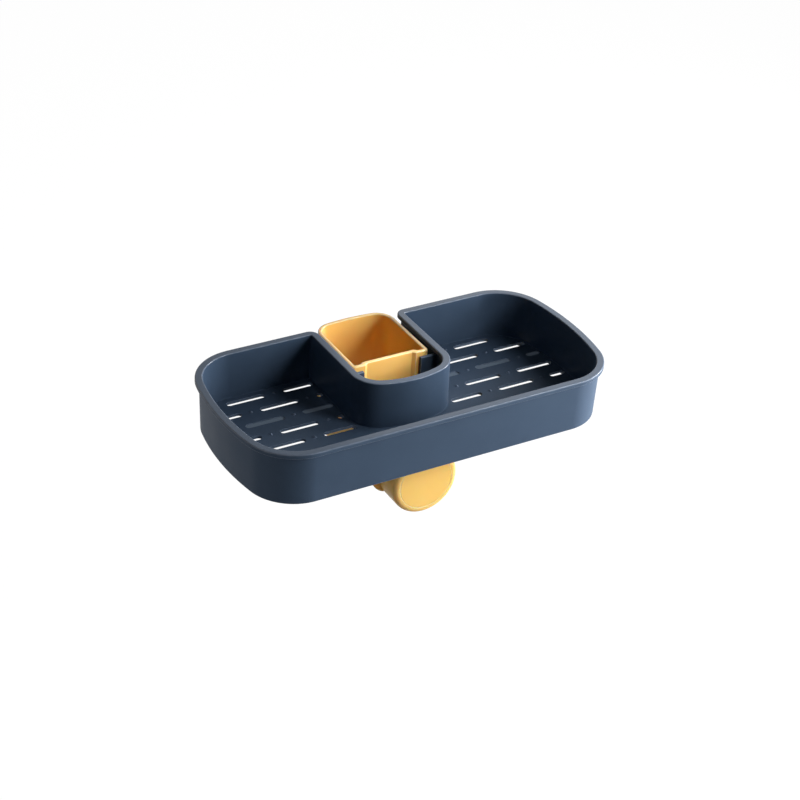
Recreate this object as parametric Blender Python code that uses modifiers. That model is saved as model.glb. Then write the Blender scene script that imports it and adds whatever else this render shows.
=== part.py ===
# Clamp-on soap dish: a slotted tray with a notch in its back edge, and a loop clamp for an upright pipe.
# Metres, +Z up, +Y towards the wall behind the pipe. The origin is on the pipe's axis, level with the
# clamp screw, with the smallest pipe in the grip.

import math

import bmesh
import bpy
from mathutils import Matrix, Vector

mm = 0.001

# Tray outline, seen from above
tray_length = 300.0 * mm
tray_depth = 147.3 * mm
corner_radius = 40.2 * mm
end_radius = 216.8 * mm
notch_half_width = 34.2 * mm
notch_front_gap = 59.8 * mm
notch_corner_radius = 16.6 * mm
notch_bow_radius = 72.7 * mm
notch_mouth_radius = 7.3 * mm
sharpest_corner = 0.8 * mm

# Tray section
tray_height = 43.4 * mm
rim_overhang = 3.0 * mm
rim_height = 3.6 * mm
rim_edge = 0.7 * mm
wall = 2.7 * mm
outer_draft = 1.0 * mm
inner_draft = 0.8 * mm
floor_top = 6.1 * mm
floor_thickness = 2.4 * mm
floor_fillet = 0.9 * mm
foot_width = 2.2 * mm
foot_edge = 0.6 * mm

# Drain slots, pips and stiffening webs of the tray's floor
slot_length = 31.2 * mm
slot_width = 4.7 * mm
slot_pitch = 46.4 * mm
slot_margin = 8.3 * mm
shortest_slot = 3.5 * mm
row_pitch = 16.4 * mm
row_shift = 2.0 * mm
row_count = 8
even_row_start = 51.4 * mm
odd_row_start = 31.8 * mm
pip_radius = 1.2 * mm
pip_height = 0.7 * mm
pocket_depth = 0.8 * mm
web_ledge = 0.9 * mm
web_row = 1.5

# Ribs that locate the tray on the clamp
rib_thickness = 3.0 * mm
rib_top_drop = 6.8 * mm
rib_free_edge = 24.0 * mm

# Loop of the clamp, seen from above
loop_half_width = 32.0 * mm
loop_wall = 3.0 * mm
loop_length = 67.0 * mm
loop_corner_radius = 14.5 * mm
loop_bow_radius = 160.0 * mm
loop_front_radius = 2.4 * mm
loop_top_drop = 3.0 * mm
loop_overhang = 10.5 * mm
loop_back_rise = 19.0 * mm
loop_rise_length = 51.4 * mm
recess_half_width = 19.3 * mm
recess_depth = 2.1 * mm
recess_slope = 2.8 * mm

# Screw housing in front of the loop
rim_above_screw = 76.4 * mm
housing_length = 36.0 * mm
housing_wall = 3.0 * mm
housing_below_screw = 17.1 * mm
housing_corner_radius = 14.7 * mm
housing_front_radius = 1.6 * mm
boss_radius = 10.5 * mm
lug_height = 12.0 * mm
lug_thickness = 2.6 * mm
seat_depth = 6.0 * mm
boss_web = 2.4 * mm
drain_width = 5.0 * mm
drain_length = 14.0 * mm
drain_offset = 9.0 * mm

# Grip
smallest_pipe = 18.0 * mm
pad_thickness = 2.5 * mm
jaw_thickness = 7.0 * mm
jaw_low = 10.0 * mm
jaw_height = 34.0 * mm
jaw_boss_radius = 9.0 * mm
jaw_boss_length = 5.0 * mm
jaw_corner_radius = 4.0 * mm
rail_depth = 3.0 * mm
rail_height = 4.0 * mm
rail_above_screw = 7.0 * mm
pad_half_width = 20.0 * mm
pad_height = 26.0 * mm
pad_low = 2.0 * mm
pad_groove_width = 1.6 * mm
pad_groove_depth = 1.0 * mm
pad_groove_pitch = 5.0 * mm
pad_groove_count = 7

# Screw, nut and clip
screw_radius = 4.0 * mm
tip_radius = 3.0 * mm
groove_radius = 2.4 * mm
head_flats = 13.0 * mm
head_height = 5.3 * mm
nut_flats = 13.0 * mm
nut_height = 6.5 * mm
clip_radius = 5.6 * mm
clip_thickness = 1.0 * mm
clip_mouth = 3.6 * mm
clip_recess_depth = 3.2 * mm

# Knob
knob_radius = 26.8 * mm
knob_length = 22.8 * mm
knob_edge_radius = 4.0 * mm
knob_gap = 1.0 * mm
knob_wall = 2.6 * mm
knob_hub_radius = 10.5 * mm
knob_rib_thickness = 2.0 * mm
knob_rib_count = 6
knob_rib_setback = 2.0 * mm
cap_radius = 21.4 * mm
cap_thickness = 1.8 * mm
cap_edge = 0.4 * mm

# Fits
gap = 0.3 * mm
slide_gap = 0.4 * mm
rib_gap = 0.4 * mm
overrun = 1.0 * mm
join = 0.5 * mm
weld = 0.0001 * mm
round_steps = 32
knob_steps = 48
corner_steps = 7

# Places that follow from the sizes above
pad_face_y = smallest_pipe / 2
loop_inner_back_y = pad_face_y + pad_thickness + gap
loop_back_y = loop_inner_back_y + loop_wall
loop_front_y = loop_back_y - loop_length
loop_inner_front_y = loop_front_y + loop_wall
tray_back_y = loop_back_y - loop_overhang
tray_y = tray_back_y - tray_depth / 2
notch_bottom_y = tray_back_y - tray_depth + notch_front_gap
rim_z = rim_above_screw
base_z = rim_z - tray_height
floor_z = base_z + floor_top
loop_top_z = rim_z - loop_top_drop
housing_top_z = base_z - gap
housing_bottom_z = -housing_below_screw
housing_front_y = loop_front_y - housing_length
knob_back_y = housing_front_y - knob_gap
knob_front_y = knob_back_y - knob_length
nut_y = (housing_front_y + loop_front_y) / 2
jaw_face_y = -smallest_pipe / 2 - pad_thickness - gap
jaw_back_y = jaw_face_y - jaw_thickness
shoulder_y = jaw_back_y - jaw_boss_length - gap
screw_head_y = knob_front_y + cap_thickness + head_height + gap * 2


def start_scene():
    for item in list(bpy.data.objects):
        bpy.data.objects.remove(item)
    parts = bpy.data.collections.new("clamp_on_soap_dish")
    cutters = bpy.data.collections.new("cutters")
    for collection in (parts, cutters):
        bpy.context.scene.collection.children.link(collection)
    cutters.hide_render = True
    return parts, cutters


parts, cutters = start_scene()


def material(name, colour, roughness, metallic=0.0):
    made = bpy.data.materials.new(name)
    made.use_nodes = True
    shader = made.node_tree.nodes["Principled BSDF"]
    shader.inputs["Base Color"].default_value = (*colour, 1.0)
    shader.inputs["Roughness"].default_value = roughness
    shader.inputs["Metallic"].default_value = metallic
    return made


# Building blocks


def mesh_object(name, mesh_data, helper):
    made = bpy.data.objects.new(name, mesh_data)
    (cutters if helper else parts).objects.link(made)
    if helper:
        made.hide_render = True
        made.display_type = "WIRE"
    return made


def from_bmesh(name, shape, helper=True):
    bmesh.ops.recalc_face_normals(shape, faces=shape.faces)
    mesh_data = bpy.data.meshes.new(name)
    shape.to_mesh(mesh_data)
    shape.free()
    return mesh_object(name, mesh_data, helper)


def block(name, low, high, helper=True):
    """A box between two opposite corners."""
    low, high = Vector(low), Vector(high)
    size = high - low
    shape = bmesh.new()
    bmesh.ops.create_cube(shape, size=1.0)
    bmesh.ops.scale(shape, vec=size, verts=shape.verts)
    bmesh.ops.translate(shape, vec=(low + high) / 2, verts=shape.verts)
    return from_bmesh(name, shape, helper)


def cylinder(name, radius, y_low, y_high, helper=True, steps=round_steps, centre=(0.0, 0.0)):
    """A cylinder along Y."""
    shape = bmesh.new()
    bmesh.ops.create_cone(
        shape, cap_ends=True, segments=steps, radius1=radius, radius2=radius, depth=y_high - y_low
    )
    bmesh.ops.rotate(shape, matrix=Matrix.Rotation(math.radians(90), 3, "X"), verts=shape.verts)
    place = (centre[0], (y_low + y_high) / 2, centre[1])
    bmesh.ops.translate(shape, vec=place, verts=shape.verts)
    return from_bmesh(name, shape, helper)


def slab(name, outline, low, high, axis="Z", helper=True):
    """A flat outline given thickness along Z, or along Y with the outline in X and Z."""
    curve = bpy.data.curves.new(name, "CURVE")
    curve.dimensions = "2D"
    curve.fill_mode = "BOTH"
    curve.extrude = (high - low) / 2
    line = curve.splines.new("POLY")
    line.points.add(len(outline) - 1)
    for point, (u, v) in zip(line.points, outline):
        point.co = (u, v, 0.0, 1.0)
    line.use_cyclic_u = True
    flat = bpy.data.objects.new(name, curve)
    parts.objects.link(flat)
    if axis == "Y":
        flat.matrix_world = Matrix.Translation((0.0, (low + high) / 2, 0.0)) @ Matrix.Rotation(
            math.radians(90), 4, "X"
        )
    else:
        flat.matrix_world = Matrix.Translation((0.0, 0.0, (low + high) / 2))
    bpy.context.view_layer.update()
    seen = flat.evaluated_get(bpy.context.evaluated_depsgraph_get())
    mesh_data = bpy.data.meshes.new_from_object(seen)
    mesh_data.transform(flat.matrix_world)
    bpy.data.objects.remove(flat)
    shape = bmesh.new()
    shape.from_mesh(mesh_data)
    bpy.data.meshes.remove(mesh_data)
    bmesh.ops.remove_doubles(shape, verts=shape.verts, dist=weld)
    return from_bmesh(name, shape, helper)


def turned(name, profile, helper=False, steps=round_steps):
    """A closed ring profile of (radius, y) points turned about the Y axis by a Screw modifier."""
    shape = bmesh.new()
    corners = [shape.verts.new((radius, y, 0.0)) for radius, y in profile]
    for first, second in zip(corners, corners[1:] + corners[:1]):
        if first.co.x > weld or second.co.x > weld:
            shape.edges.new((first, second))
    mesh_data = bpy.data.meshes.new(name)
    shape.to_mesh(mesh_data)
    shape.free()
    made = mesh_object(name, mesh_data, helper)
    spin = made.modifiers.new("turn", "SCREW")
    spin.axis = "Y"
    spin.steps = steps
    spin.render_steps = steps
    spin.use_merge_vertices = True
    spin.merge_threshold = 0.01 * mm
    return made


def boolean(target, tool, operation):
    step = target.modifiers.new(tool.name, "BOOLEAN")
    step.operation = operation
    step.object = tool
    step.solver = "EXACT"


def cut(target, *tools):
    for tool in tools:
        boolean(target, tool, "DIFFERENCE")


def fuse(target, *tools):
    for tool in tools:
        boolean(target, tool, "UNION")


def finish(target, surface, smooth_angle=35):
    target.data.materials.append(surface)
    target.data.shade_smooth()
    target.data.set_sharp_from_angle(angle=math.radians(smooth_angle))


def arc(centre, radius, start, end, steps=corner_steps):
    """Points on a circle from one angle to another, in radians."""
    turn = (end - start) / steps
    return [
        (
            centre[0] + radius * math.cos(start + turn * step),
            centre[1] + radius * math.sin(start + turn * step),
        )
        for step in range(steps + 1)
    ]


def mirrored(half):
    """The right half of an outline, from its lowest middle point, closed with its mirror image."""
    whole = half + [(-x, y) for x, y in reversed(half)]
    kept = []
    for point in whole:
        if not kept or math.dist(point, kept[-1]) > weld:
            kept.append(point)
    if math.dist(kept[0], kept[-1]) <= weld:
        kept.pop()
    return kept


def rounded_box_outline(half_width, low, high, radius):
    """A rounded rectangle centred across, between two heights."""
    middle = half_width - radius
    return mirrored(
        arc((middle, low + radius), radius, -math.pi / 2, 0.0)
        + arc((middle, high - radius), radius, 0.0, math.pi / 2)
    )


def hexagon(flats):
    """A hexagon of a given width across its flats, standing on a corner."""
    reach = flats / math.sqrt(3)
    turns = [math.radians(60 * side + 30) for side in range(6)]
    return [(reach * math.cos(turn), reach * math.sin(turn)) for turn in turns]


# Tray

half_length = tray_length / 2
half_depth = tray_depth / 2
end_centre_x = half_length - end_radius
corner_y = half_depth - corner_radius
corner_x = end_centre_x + math.sqrt((end_radius - corner_radius) ** 2 - corner_y**2)
corner_turn = math.atan2(corner_y, corner_x - end_centre_x)
bow_y = notch_bottom_y + notch_bow_radius
elbow_x = notch_half_width - notch_corner_radius
elbow_y = bow_y - math.sqrt((notch_bow_radius - notch_corner_radius) ** 2 - elbow_x**2)
elbow_turn = math.atan2(elbow_y - bow_y, elbow_x)


def tray_outline(inset):
    """The tray's outline drawn in by a distance: long edges, bowed ends, and the notch in the back."""
    mouth = max(notch_mouth_radius - inset, sharpest_corner)
    mouth_x = notch_half_width + inset + mouth
    mouth_y = tray_back_y - inset - mouth
    end = end_radius - inset
    corner = corner_radius - inset
    right = arc((corner_x, tray_y - corner_y), corner, -math.pi / 2, -corner_turn)
    right += arc((end_centre_x, tray_y), end, -corner_turn, corner_turn, corner_steps + 3)
    right += arc((corner_x, tray_y + corner_y), corner, corner_turn, math.pi / 2)
    right += arc((mouth_x, mouth_y), mouth, math.pi / 2, math.pi, 3)
    right += arc((elbow_x, elbow_y), notch_corner_radius + inset, 0.0, elbow_turn)
    right += arc((0.0, bow_y), notch_bow_radius + inset, elbow_turn, -math.pi / 2, 4)
    return mirrored(right)


def tray_section():
    """The moulded wall's section as (inset, height) points, from the floor up, over the rim and down."""
    inner_top = rim_overhang + wall
    inner_foot = inner_top + inner_draft
    outer_foot = rim_overhang + outer_draft
    lip_bottom = rim_z - rim_height
    centre = (inner_foot + floor_fillet, floor_z + floor_fillet)
    points = arc(centre, floor_fillet, -math.pi / 2, -math.pi, 3)
    points += [(inner_top, rim_z - rim_edge), (inner_top - rim_edge, rim_z)]
    points += [(rim_edge, rim_z), (0.0, rim_z - rim_edge), (0.0, lip_bottom)]
    points += [(rim_overhang, lip_bottom)]
    points += [(outer_foot, base_z + foot_edge), (outer_foot + foot_edge, base_z)]
    points += [(outer_foot + foot_width, base_z), (outer_foot + foot_width, floor_z - floor_thickness)]
    return points


def lofted_tray():
    """The section carried round the outline, with the floor filled in above and below."""
    shape = bmesh.new()
    rings = []
    for inset, height in tray_section():
        rings.append([shape.verts.new((x, y, height)) for x, y in tray_outline(inset)])
    count = len(rings[0])
    for lower, upper in zip(rings, rings[1:]):
        for here in range(count):
            after = (here + 1) % count
            shape.faces.new((lower[here], lower[after], upper[after], upper[here]))
    caps = [shape.faces.new(ring) for ring in (rings[0], rings[-1])]
    for cap in caps:
        cap.normal_update()
    bmesh.ops.triangulate(shape, faces=caps)
    return from_bmesh("tray", shape, helper=False)


def notch_reach(y):
    """Half the width that the notch and its margin take from a slot row."""
    edge = y + slot_width / 2
    if edge >= elbow_y:
        return notch_half_width + slot_margin
    radius = notch_corner_radius + slot_margin
    if elbow_y - edge < -radius * math.sin(elbow_turn):
        return elbow_x + math.sqrt(radius**2 - (elbow_y - edge) ** 2)
    return math.sqrt(max((notch_bow_radius + slot_margin) ** 2 - (bow_y - edge) ** 2, 0.0))


def end_reach(y):
    """How far out from the middle a slot row may run before the margin of the end wall."""
    away = abs(y - tray_y)
    if away <= corner_y:
        return end_centre_x + math.sqrt((end_radius - slot_margin) ** 2 - away**2)
    return corner_x + math.sqrt(max((corner_radius - slot_margin) ** 2 - (away - corner_y) ** 2, 0.0))


def slot_rows():
    """Every slot as (low x, high x, y), and every pip as (x, y) in the gaps between slots.

    The rows are those that fit between the front and back walls.
    """
    slots, pips = [], []
    reach = half_depth - rim_overhang - wall - inner_draft - floor_fillet
    for row in range(row_count):
        y = tray_y + row_shift + row_pitch * (row - (row_count - 1) / 2)
        if abs(y - tray_y) + slot_width / 2 > reach:
            continue
        even = (row_count - 1 - row) % 2 == 0
        start = even_row_start if even else odd_row_start
        inner, outer = notch_reach(y), end_reach(y)
        if even and inner == 0:
            slots.append((-slot_length / 2, slot_length / 2, y))
            pips += [(side * (start / 2), y) for side in (-1, 1)]
        for step in range(4):
            centre = start + slot_pitch * step
            low = max(centre - slot_length / 2, inner)
            high = min(centre + slot_length / 2, outer)
            if high - low >= shortest_slot:
                if high - low < slot_width:
                    low = high - slot_width
                slots += [(low, high, y), (-high, -low, y)]
            between = centre + slot_pitch / 2
            if inner + slot_width < between < outer - slot_width:
                pips += [(between, y), (-between, y)]
    return slots, pips


def slot_outline(low, high, y):
    radius = slot_width / 2
    right = arc((high - radius, y), radius, -math.pi / 2, math.pi / 2, 4)
    left = arc((low + radius, y), radius, math.pi / 2, math.pi * 3 / 2, 4)
    if high - low - slot_width < weld:
        return right[:-1] + left[:-1]
    return right + left


def prisms(name, outlines, low, high):
    """Several upright prisms as one cutter."""
    shape = bmesh.new()
    for outline in outlines:
        bottom = [shape.verts.new((x, y, low)) for x, y in outline]
        top = [shape.verts.new((x, y, high)) for x, y in outline]
        shape.faces.new(list(reversed(bottom)))
        shape.faces.new(top)
        for here in range(len(outline)):
            after = (here + 1) % len(outline)
            shape.faces.new((bottom[here], bottom[after], top[after], top[here]))
    return from_bmesh(name, shape)


def add_pips(tray, places):
    shape = bmesh.new()
    for x, y in places:
        made = bmesh.ops.create_cone(
            shape,
            cap_ends=True,
            segments=6,
            radius1=pip_radius,
            radius2=pip_radius / 2,
            depth=pip_height + join,
        )
        centre = (x, y, floor_z + (pip_height - join) / 2)
        bmesh.ops.translate(shape, vec=centre, verts=made["verts"])
    fuse(tray, from_bmesh("tray_pips", shape))


def add_webs(tray):
    """Stiffening webs under the floor. They close the bottoms of the slots above them."""
    y = tray_y + row_shift + row_pitch * web_row
    half = slot_width / 2 + web_ledge
    inner = notch_half_width + rim_overhang + wall / 2
    outer = half_length - rim_overhang - outer_draft - wall
    low_z = base_z + foot_edge
    top = floor_z - pocket_depth
    for side, low, high in (("left", -outer, -inner), ("right", inner, outer)):
        web = block(f"tray_web_{side}", (low, y - half, low_z), (high, y + half, top))
        fuse(tray, web)
    y -= row_pitch * web_row * 2
    front = block("tray_web_front", (-outer, y - half, low_z), (outer, y + half, top))
    fuse(tray, front)


def make_tray(surface):
    tray = lofted_tray()
    slots, pips = slot_rows()
    rib_y = loop_front_y - rib_gap
    for side, name in ((-1, "left"), (1, "right")):
        edges = sorted((side * rib_free_edge, side * (notch_half_width + rim_overhang + wall / 2)))
        rib = block(
            f"tray_rib_{name}",
            (edges[0], rib_y - rib_thickness, base_z),
            (edges[1], rib_y, rim_z - rib_top_drop),
        )
        fuse(tray, rib)
    outlines = [slot_outline(*slot) for slot in slots]
    cut(tray, prisms("tray_slots", outlines, floor_z - floor_thickness - overrun, floor_z + overrun))
    add_webs(tray)
    add_pips(tray, pips)
    finish(tray, surface)
    return tray


# Clamp body

rear_arc_x = loop_half_width - loop_corner_radius
bow_centre_y = loop_back_y - loop_bow_radius
rear_arc_y = bow_centre_y + math.sqrt((loop_bow_radius - loop_corner_radius) ** 2 - rear_arc_x**2)
rear_turn = math.atan2(rear_arc_y - bow_centre_y, rear_arc_x)


def run_out(points, reach):
    """The last straight of an open outline carried on until it is the reach further out in X."""
    (x1, y1), (x2, y2) = points[-2:]
    share = (x2 + reach - x1) / (x2 - x1)
    return points[:-1] + [(x1 + (x2 - x1) * share, y1 + (y2 - y1) * share)]


def loop_front(inset):
    """The right half of the loop's front from above: the recess, its slanted side and the ear."""
    front = loop_front_y + inset
    step = recess_half_width + inset
    nose = max(loop_front_radius - inset, sharpest_corner)
    points = [(step - recess_slope, front + recess_depth), (step, front)]
    return points + arc((loop_half_width - inset - nose, front + nose), nose, -math.pi / 2, 0.0, 3)


def loop_back(inset):
    """The right half of the loop's back from above: the round corner and the bow."""
    corner = arc((rear_arc_x, rear_arc_y), loop_corner_radius - inset, 0.0, rear_turn)
    return corner + arc((0.0, bow_centre_y), loop_bow_radius - inset, rear_turn, math.pi / 2, 3)


def body_outline():
    """The whole clamp body from above: the housing's square front and the loop's round back."""
    radius = housing_front_radius
    front = arc((loop_half_width - radius, housing_front_y + radius), radius, -math.pi / 2, 0.0, 3)
    return mirrored(front + loop_back(0.0))


def housing_corner(inset):
    """The right lower corner of the housing from the front."""
    radius = housing_corner_radius - inset
    centre = (loop_half_width - housing_corner_radius, housing_bottom_z + housing_corner_radius)
    return arc(centre, radius, -math.pi / 2, 0.0)


def shape_body():
    """The outer form: a plan outline, trimmed below from the front and from the side."""
    body = slab("clamp_body", body_outline(), housing_bottom_z - overrun, loop_top_z, helper=False)
    beyond = loop_half_width + overrun
    corner = run_out(housing_corner(0.0), overrun)
    trim = slab(
        "lower_trim",
        mirrored(corner + [(beyond, loop_top_z + overrun)]),
        housing_front_y - overrun,
        loop_back_y + overrun,
        axis="Y",
    )
    boolean(body, trim, "INTERSECT")
    shoulder = slab(
        "shoulder",
        mirrored(
            [(beyond, housing_front_y - overrun)]
            + list(reversed(run_out(loop_front(0.0), overrun)))
        ),
        housing_top_z,
        loop_top_z + overrun,
    )
    rise = loop_back_rise / loop_rise_length
    start_y = loop_back_y - loop_rise_length
    wedge = side_wedge(
        "loop_underside",
        [
            (start_y - overrun, housing_bottom_z - overrun * rise),
            (loop_back_y + overrun, housing_bottom_z + loop_back_rise + overrun * rise),
            (loop_back_y + overrun, housing_bottom_z - overrun * 2),
            (start_y - overrun, housing_bottom_z - overrun * 2),
        ],
        beyond,
    )
    cut(body, shoulder, wedge)
    return body


def hollow_body(body):
    """The pipe passage through the loop and the open-topped hollow of the housing."""
    passage = slab(
        "pipe_passage",
        mirrored(loop_front(loop_wall) + loop_back(loop_wall)),
        housing_bottom_z - overrun,
        loop_top_z + overrun,
    )
    top = housing_top_z + overrun
    hollow = slab(
        "housing_hollow",
        mirrored(housing_corner(housing_wall) + [(loop_half_width - housing_wall, top)]),
        housing_front_y + housing_wall,
        loop_front_y - join,
        axis="Y",
    )
    cut(body, passage, hollow)


def add_boss(body):
    """A boss across the housing for the screw, on a web, with the nut's pocket open above it."""
    back_y = loop_front_y + join
    boss = cylinder("screw_boss", boss_radius, housing_front_y + join, back_y)
    web = block(
        "boss_web",
        (-boss_web / 2, housing_front_y + join, housing_bottom_z + join),
        (boss_web / 2, back_y - join * 2, -boss_radius + overrun),
    )
    fuse(body, boss, web)
    side = nut_flats / 2 + gap
    point = side / math.cos(math.radians(30))
    top = boss_radius + overrun
    pocket = slab(
        "nut_pocket",
        mirrored([(0.0, -point), (side, -point / 2), (side, top)]),
        nut_y - nut_height / 2 - gap,
        nut_y + nut_height / 2 + gap,
        axis="Y",
    )
    bore_end = loop_front_y + loop_wall * 2
    bore = cylinder("screw_bore", screw_radius + gap, housing_front_y - overrun, bore_end)
    cut(body, pocket, bore)


def add_guides(body):
    """On each side: the slot that takes the tray's rib, and the rail that guides the jaw."""
    lug_back = loop_front_y - rib_gap - rib_thickness - slide_gap
    lug_front = lug_back - lug_thickness
    for hand, name in ((-1, "left"), (1, "right")):
        inner = hand * (rib_free_edge - slide_gap - lug_thickness)
        outer = hand * (loop_half_width - join)
        low_x, high_x = sorted((inner, outer))
        seat_top = housing_top_z - join
        lug_top = housing_top_z + lug_height
        seat = block(
            f"rib_seat_{name}",
            (low_x, lug_front, seat_top - seat_depth),
            (high_x, loop_front_y + join, seat_top),
        )
        lug = block(
            f"rib_lug_{name}",
            (low_x, lug_front, seat_top - join),
            (high_x, lug_back, lug_top),
        )
        cheek_x = sorted((inner, inner + hand * lug_thickness))
        cheek = block(
            f"rib_cheek_{name}",
            (cheek_x[0], lug_back - join, seat_top - join),
            (cheek_x[1], loop_front_y + join, lug_top),
        )
        wall_x = hand * (loop_half_width - loop_wall)
        rail_x = sorted((wall_x + hand * join, wall_x - hand * rail_depth))
        rail = block(
            f"jaw_rail_{name}",
            (rail_x[0], loop_inner_front_y - join, rail_above_screw - rail_height / 2),
            (rail_x[1], rear_arc_y, rail_above_screw + rail_height / 2),
        )
        fuse(body, seat, lug, cheek, rail)
        drain_x = sorted((hand * drain_offset, hand * (drain_offset + drain_width)))
        drain = block(
            f"housing_drain_{name}",
            (drain_x[0], nut_y - drain_length / 2, housing_bottom_z - overrun),
            (drain_x[1], nut_y + drain_length / 2, housing_bottom_z + housing_wall + overrun * 2),
        )
        cut(body, drain)


def make_clamp_body(surface):
    body = shape_body()
    hollow_body(body)
    add_boss(body)
    add_guides(body)
    finish(body, surface)


def side_wedge(name, points, half_width):
    """An outline in Y and Z given thickness across X."""
    shape = bmesh.new()
    left = [shape.verts.new((-half_width, y, z)) for y, z in points]
    right = [shape.verts.new((half_width, y, z)) for y, z in points]
    shape.faces.new(left)
    shape.faces.new(list(reversed(right)))
    for here in range(len(points)):
        after = (here + 1) % len(points)
        shape.faces.new((left[after], left[here], right[here], right[after]))
    return from_bmesh(name, shape)


# Grip


def make_jaw(surface):
    side = loop_half_width - loop_wall - slide_gap
    jaw = slab(
        "jaw",
        rounded_box_outline(side, -jaw_low, jaw_height - jaw_low, jaw_corner_radius),
        jaw_back_y,
        jaw_face_y,
        axis="Y",
        helper=False,
    )
    boss = cylinder("jaw_boss", jaw_boss_radius, jaw_back_y - jaw_boss_length, jaw_back_y + join)
    fuse(jaw, boss)
    bore_start = jaw_back_y - jaw_boss_length - overrun
    bore = cylinder("jaw_bore", tip_radius + gap, bore_start, jaw_face_y + overrun)
    recess_floor = jaw_face_y - clip_recess_depth
    recess = cylinder("clip_recess", clip_radius + overrun, recess_floor, jaw_face_y + overrun)
    cut(jaw, bore, recess)
    for hand, name in ((-1, "left"), (1, "right")):
        edge = hand * (side + overrun)
        root = hand * (side - rail_depth)
        low_x, high_x = sorted((edge, root))
        half = rail_height / 2 + slide_gap
        groove = block(
            f"jaw_groove_{name}",
            (low_x, jaw_back_y - overrun, rail_above_screw - half),
            (high_x, jaw_face_y + overrun, rail_above_screw + half),
        )
        cut(jaw, groove)
    finish(jaw, surface)
    return jaw


def pad_face(face_y, inward):
    """The right half of a pad's grooved face from above; inward points from the face into the pad."""
    floor_y = face_y + inward * pad_groove_depth
    half = pad_groove_width / 2
    points = [(half, floor_y), (half, face_y)]
    for number in range(1, pad_groove_count // 2 + 1):
        x = pad_groove_pitch * number
        points += [(x - half, face_y), (x - half, floor_y), (x + half, floor_y), (x + half, face_y)]
    chamfer = pad_groove_depth / 2
    return points + [(pad_half_width - chamfer, face_y), (pad_half_width, face_y + inward * chamfer)]


def make_pads(surface):
    """Rubber facings with upright grooves: flat on the jaw, bowed to fit the loop's back wall."""
    jaw_side = pad_face(-pad_face_y, -1) + [(pad_half_width, jaw_face_y + gap)]
    low = -jaw_low + pad_low
    jaw_pad = slab("jaw_pad", mirrored(jaw_side), low, low + pad_height, helper=False)
    bow = loop_bow_radius - loop_wall - gap
    turn = math.acos(pad_half_width / bow)
    back = pad_face(pad_face_y, 1) + arc((0.0, bow_centre_y), bow, turn, math.pi / 2, 4)
    back_pad = slab("back_pad", mirrored(back), pad_low, pad_low + pad_height, helper=False)
    for pad in (jaw_pad, back_pad):
        finish(pad, surface)
    return jaw_pad


def make_screw(surface):
    """Turned shank and tip with the clip's groove, and a hexagonal head."""
    clip_y = jaw_face_y - clip_recess_depth + gap
    groove_end = clip_y + clip_thickness + gap
    tip_end = jaw_face_y - gap
    profile = [
        (0.0, screw_head_y - join),
        (screw_radius, screw_head_y - join),
        (screw_radius, shoulder_y),
        (tip_radius, shoulder_y),
        (tip_radius, clip_y - gap / 2),
        (groove_radius, clip_y - gap / 2),
        (groove_radius, groove_end),
        (tip_radius, groove_end),
        (tip_radius, tip_end),
        (0.0, tip_end),
    ]
    screw = turned("clamp_screw", profile)
    head_front = screw_head_y - head_height
    head = slab("screw_head", hexagon(head_flats), head_front, screw_head_y, axis="Y")
    fuse(screw, head)
    finish(screw, surface)
    return screw


def make_nut(surface):
    nut = slab(
        "screw_nut",
        hexagon(nut_flats),
        nut_y - nut_height / 2,
        nut_y + nut_height / 2,
        axis="Y",
        helper=False,
    )
    cut(nut, cylinder("nut_bore", screw_radius + gap, nut_y - nut_height, nut_y + nut_height))
    finish(nut, surface)
    return nut


def make_clip(surface):
    """Flat snap ring, open at one side so that it slips on to the screw's groove."""
    low = jaw_face_y - clip_recess_depth + gap
    clip = cylinder("screw_clip", clip_radius, low, low + clip_thickness, helper=False)
    beyond = low + clip_thickness + overrun
    hole = cylinder("clip_hole", groove_radius + gap, low - overrun, beyond)
    mouth = block(
        "clip_mouth",
        (-clip_mouth / 2, low - overrun, -clip_radius - overrun),
        (clip_mouth / 2, beyond, 0.0),
    )
    cut(clip, hole, mouth)
    finish(clip, surface)
    return clip


# Knob


def make_knob(surface):
    edge = arc(
        (knob_radius - knob_edge_radius, knob_front_y + knob_edge_radius),
        knob_edge_radius,
        0.0,
        -math.pi / 2,
        5,
    )
    web_y = knob_front_y + cap_thickness + gap + knob_wall
    profile = [(0.0, knob_back_y), (knob_hub_radius, knob_back_y), (knob_hub_radius, web_y)]
    profile += [(knob_radius - knob_wall, web_y), (knob_radius - knob_wall, knob_back_y)]
    profile += [(knob_radius, knob_back_y)]
    profile += edge
    profile += [(0.0, knob_front_y)]
    knob = turned("knob", profile, steps=knob_steps)
    rib_back = knob_back_y - knob_rib_setback
    for number in range(knob_rib_count):
        turn = math.radians(360 / knob_rib_count * number)
        rib = block(
            f"knob_rib_{number + 1}",
            (knob_hub_radius - join, web_y - join, -knob_rib_thickness / 2),
            (knob_radius - knob_wall + join, rib_back, knob_rib_thickness / 2),
        )
        rib.data.transform(Matrix.Rotation(turn, 4, "Y"))
        fuse(knob, rib)
    seat_floor = knob_front_y + cap_thickness + gap
    seat = cylinder(
        "cap_seat", cap_radius + gap, knob_front_y - overrun, seat_floor, steps=knob_steps
    )
    socket = slab(
        "head_socket",
        hexagon(head_flats + gap * 2),
        knob_front_y,
        screw_head_y + gap,
        axis="Y",
    )
    bore = cylinder("knob_bore", screw_radius + gap, knob_front_y, knob_back_y + overrun)
    cut(knob, seat, socket, bore)
    finish(knob, surface)
    return knob


def make_cap(surface):
    back = knob_front_y + cap_thickness
    profile = [
        (0.0, back),
        (cap_radius, back),
        (cap_radius, knob_front_y + cap_edge),
        (cap_radius - cap_edge, knob_front_y),
        (0.0, knob_front_y),
    ]
    cap = turned("knob_cap", profile, steps=knob_steps)
    finish(cap, surface)
    return cap


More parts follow.
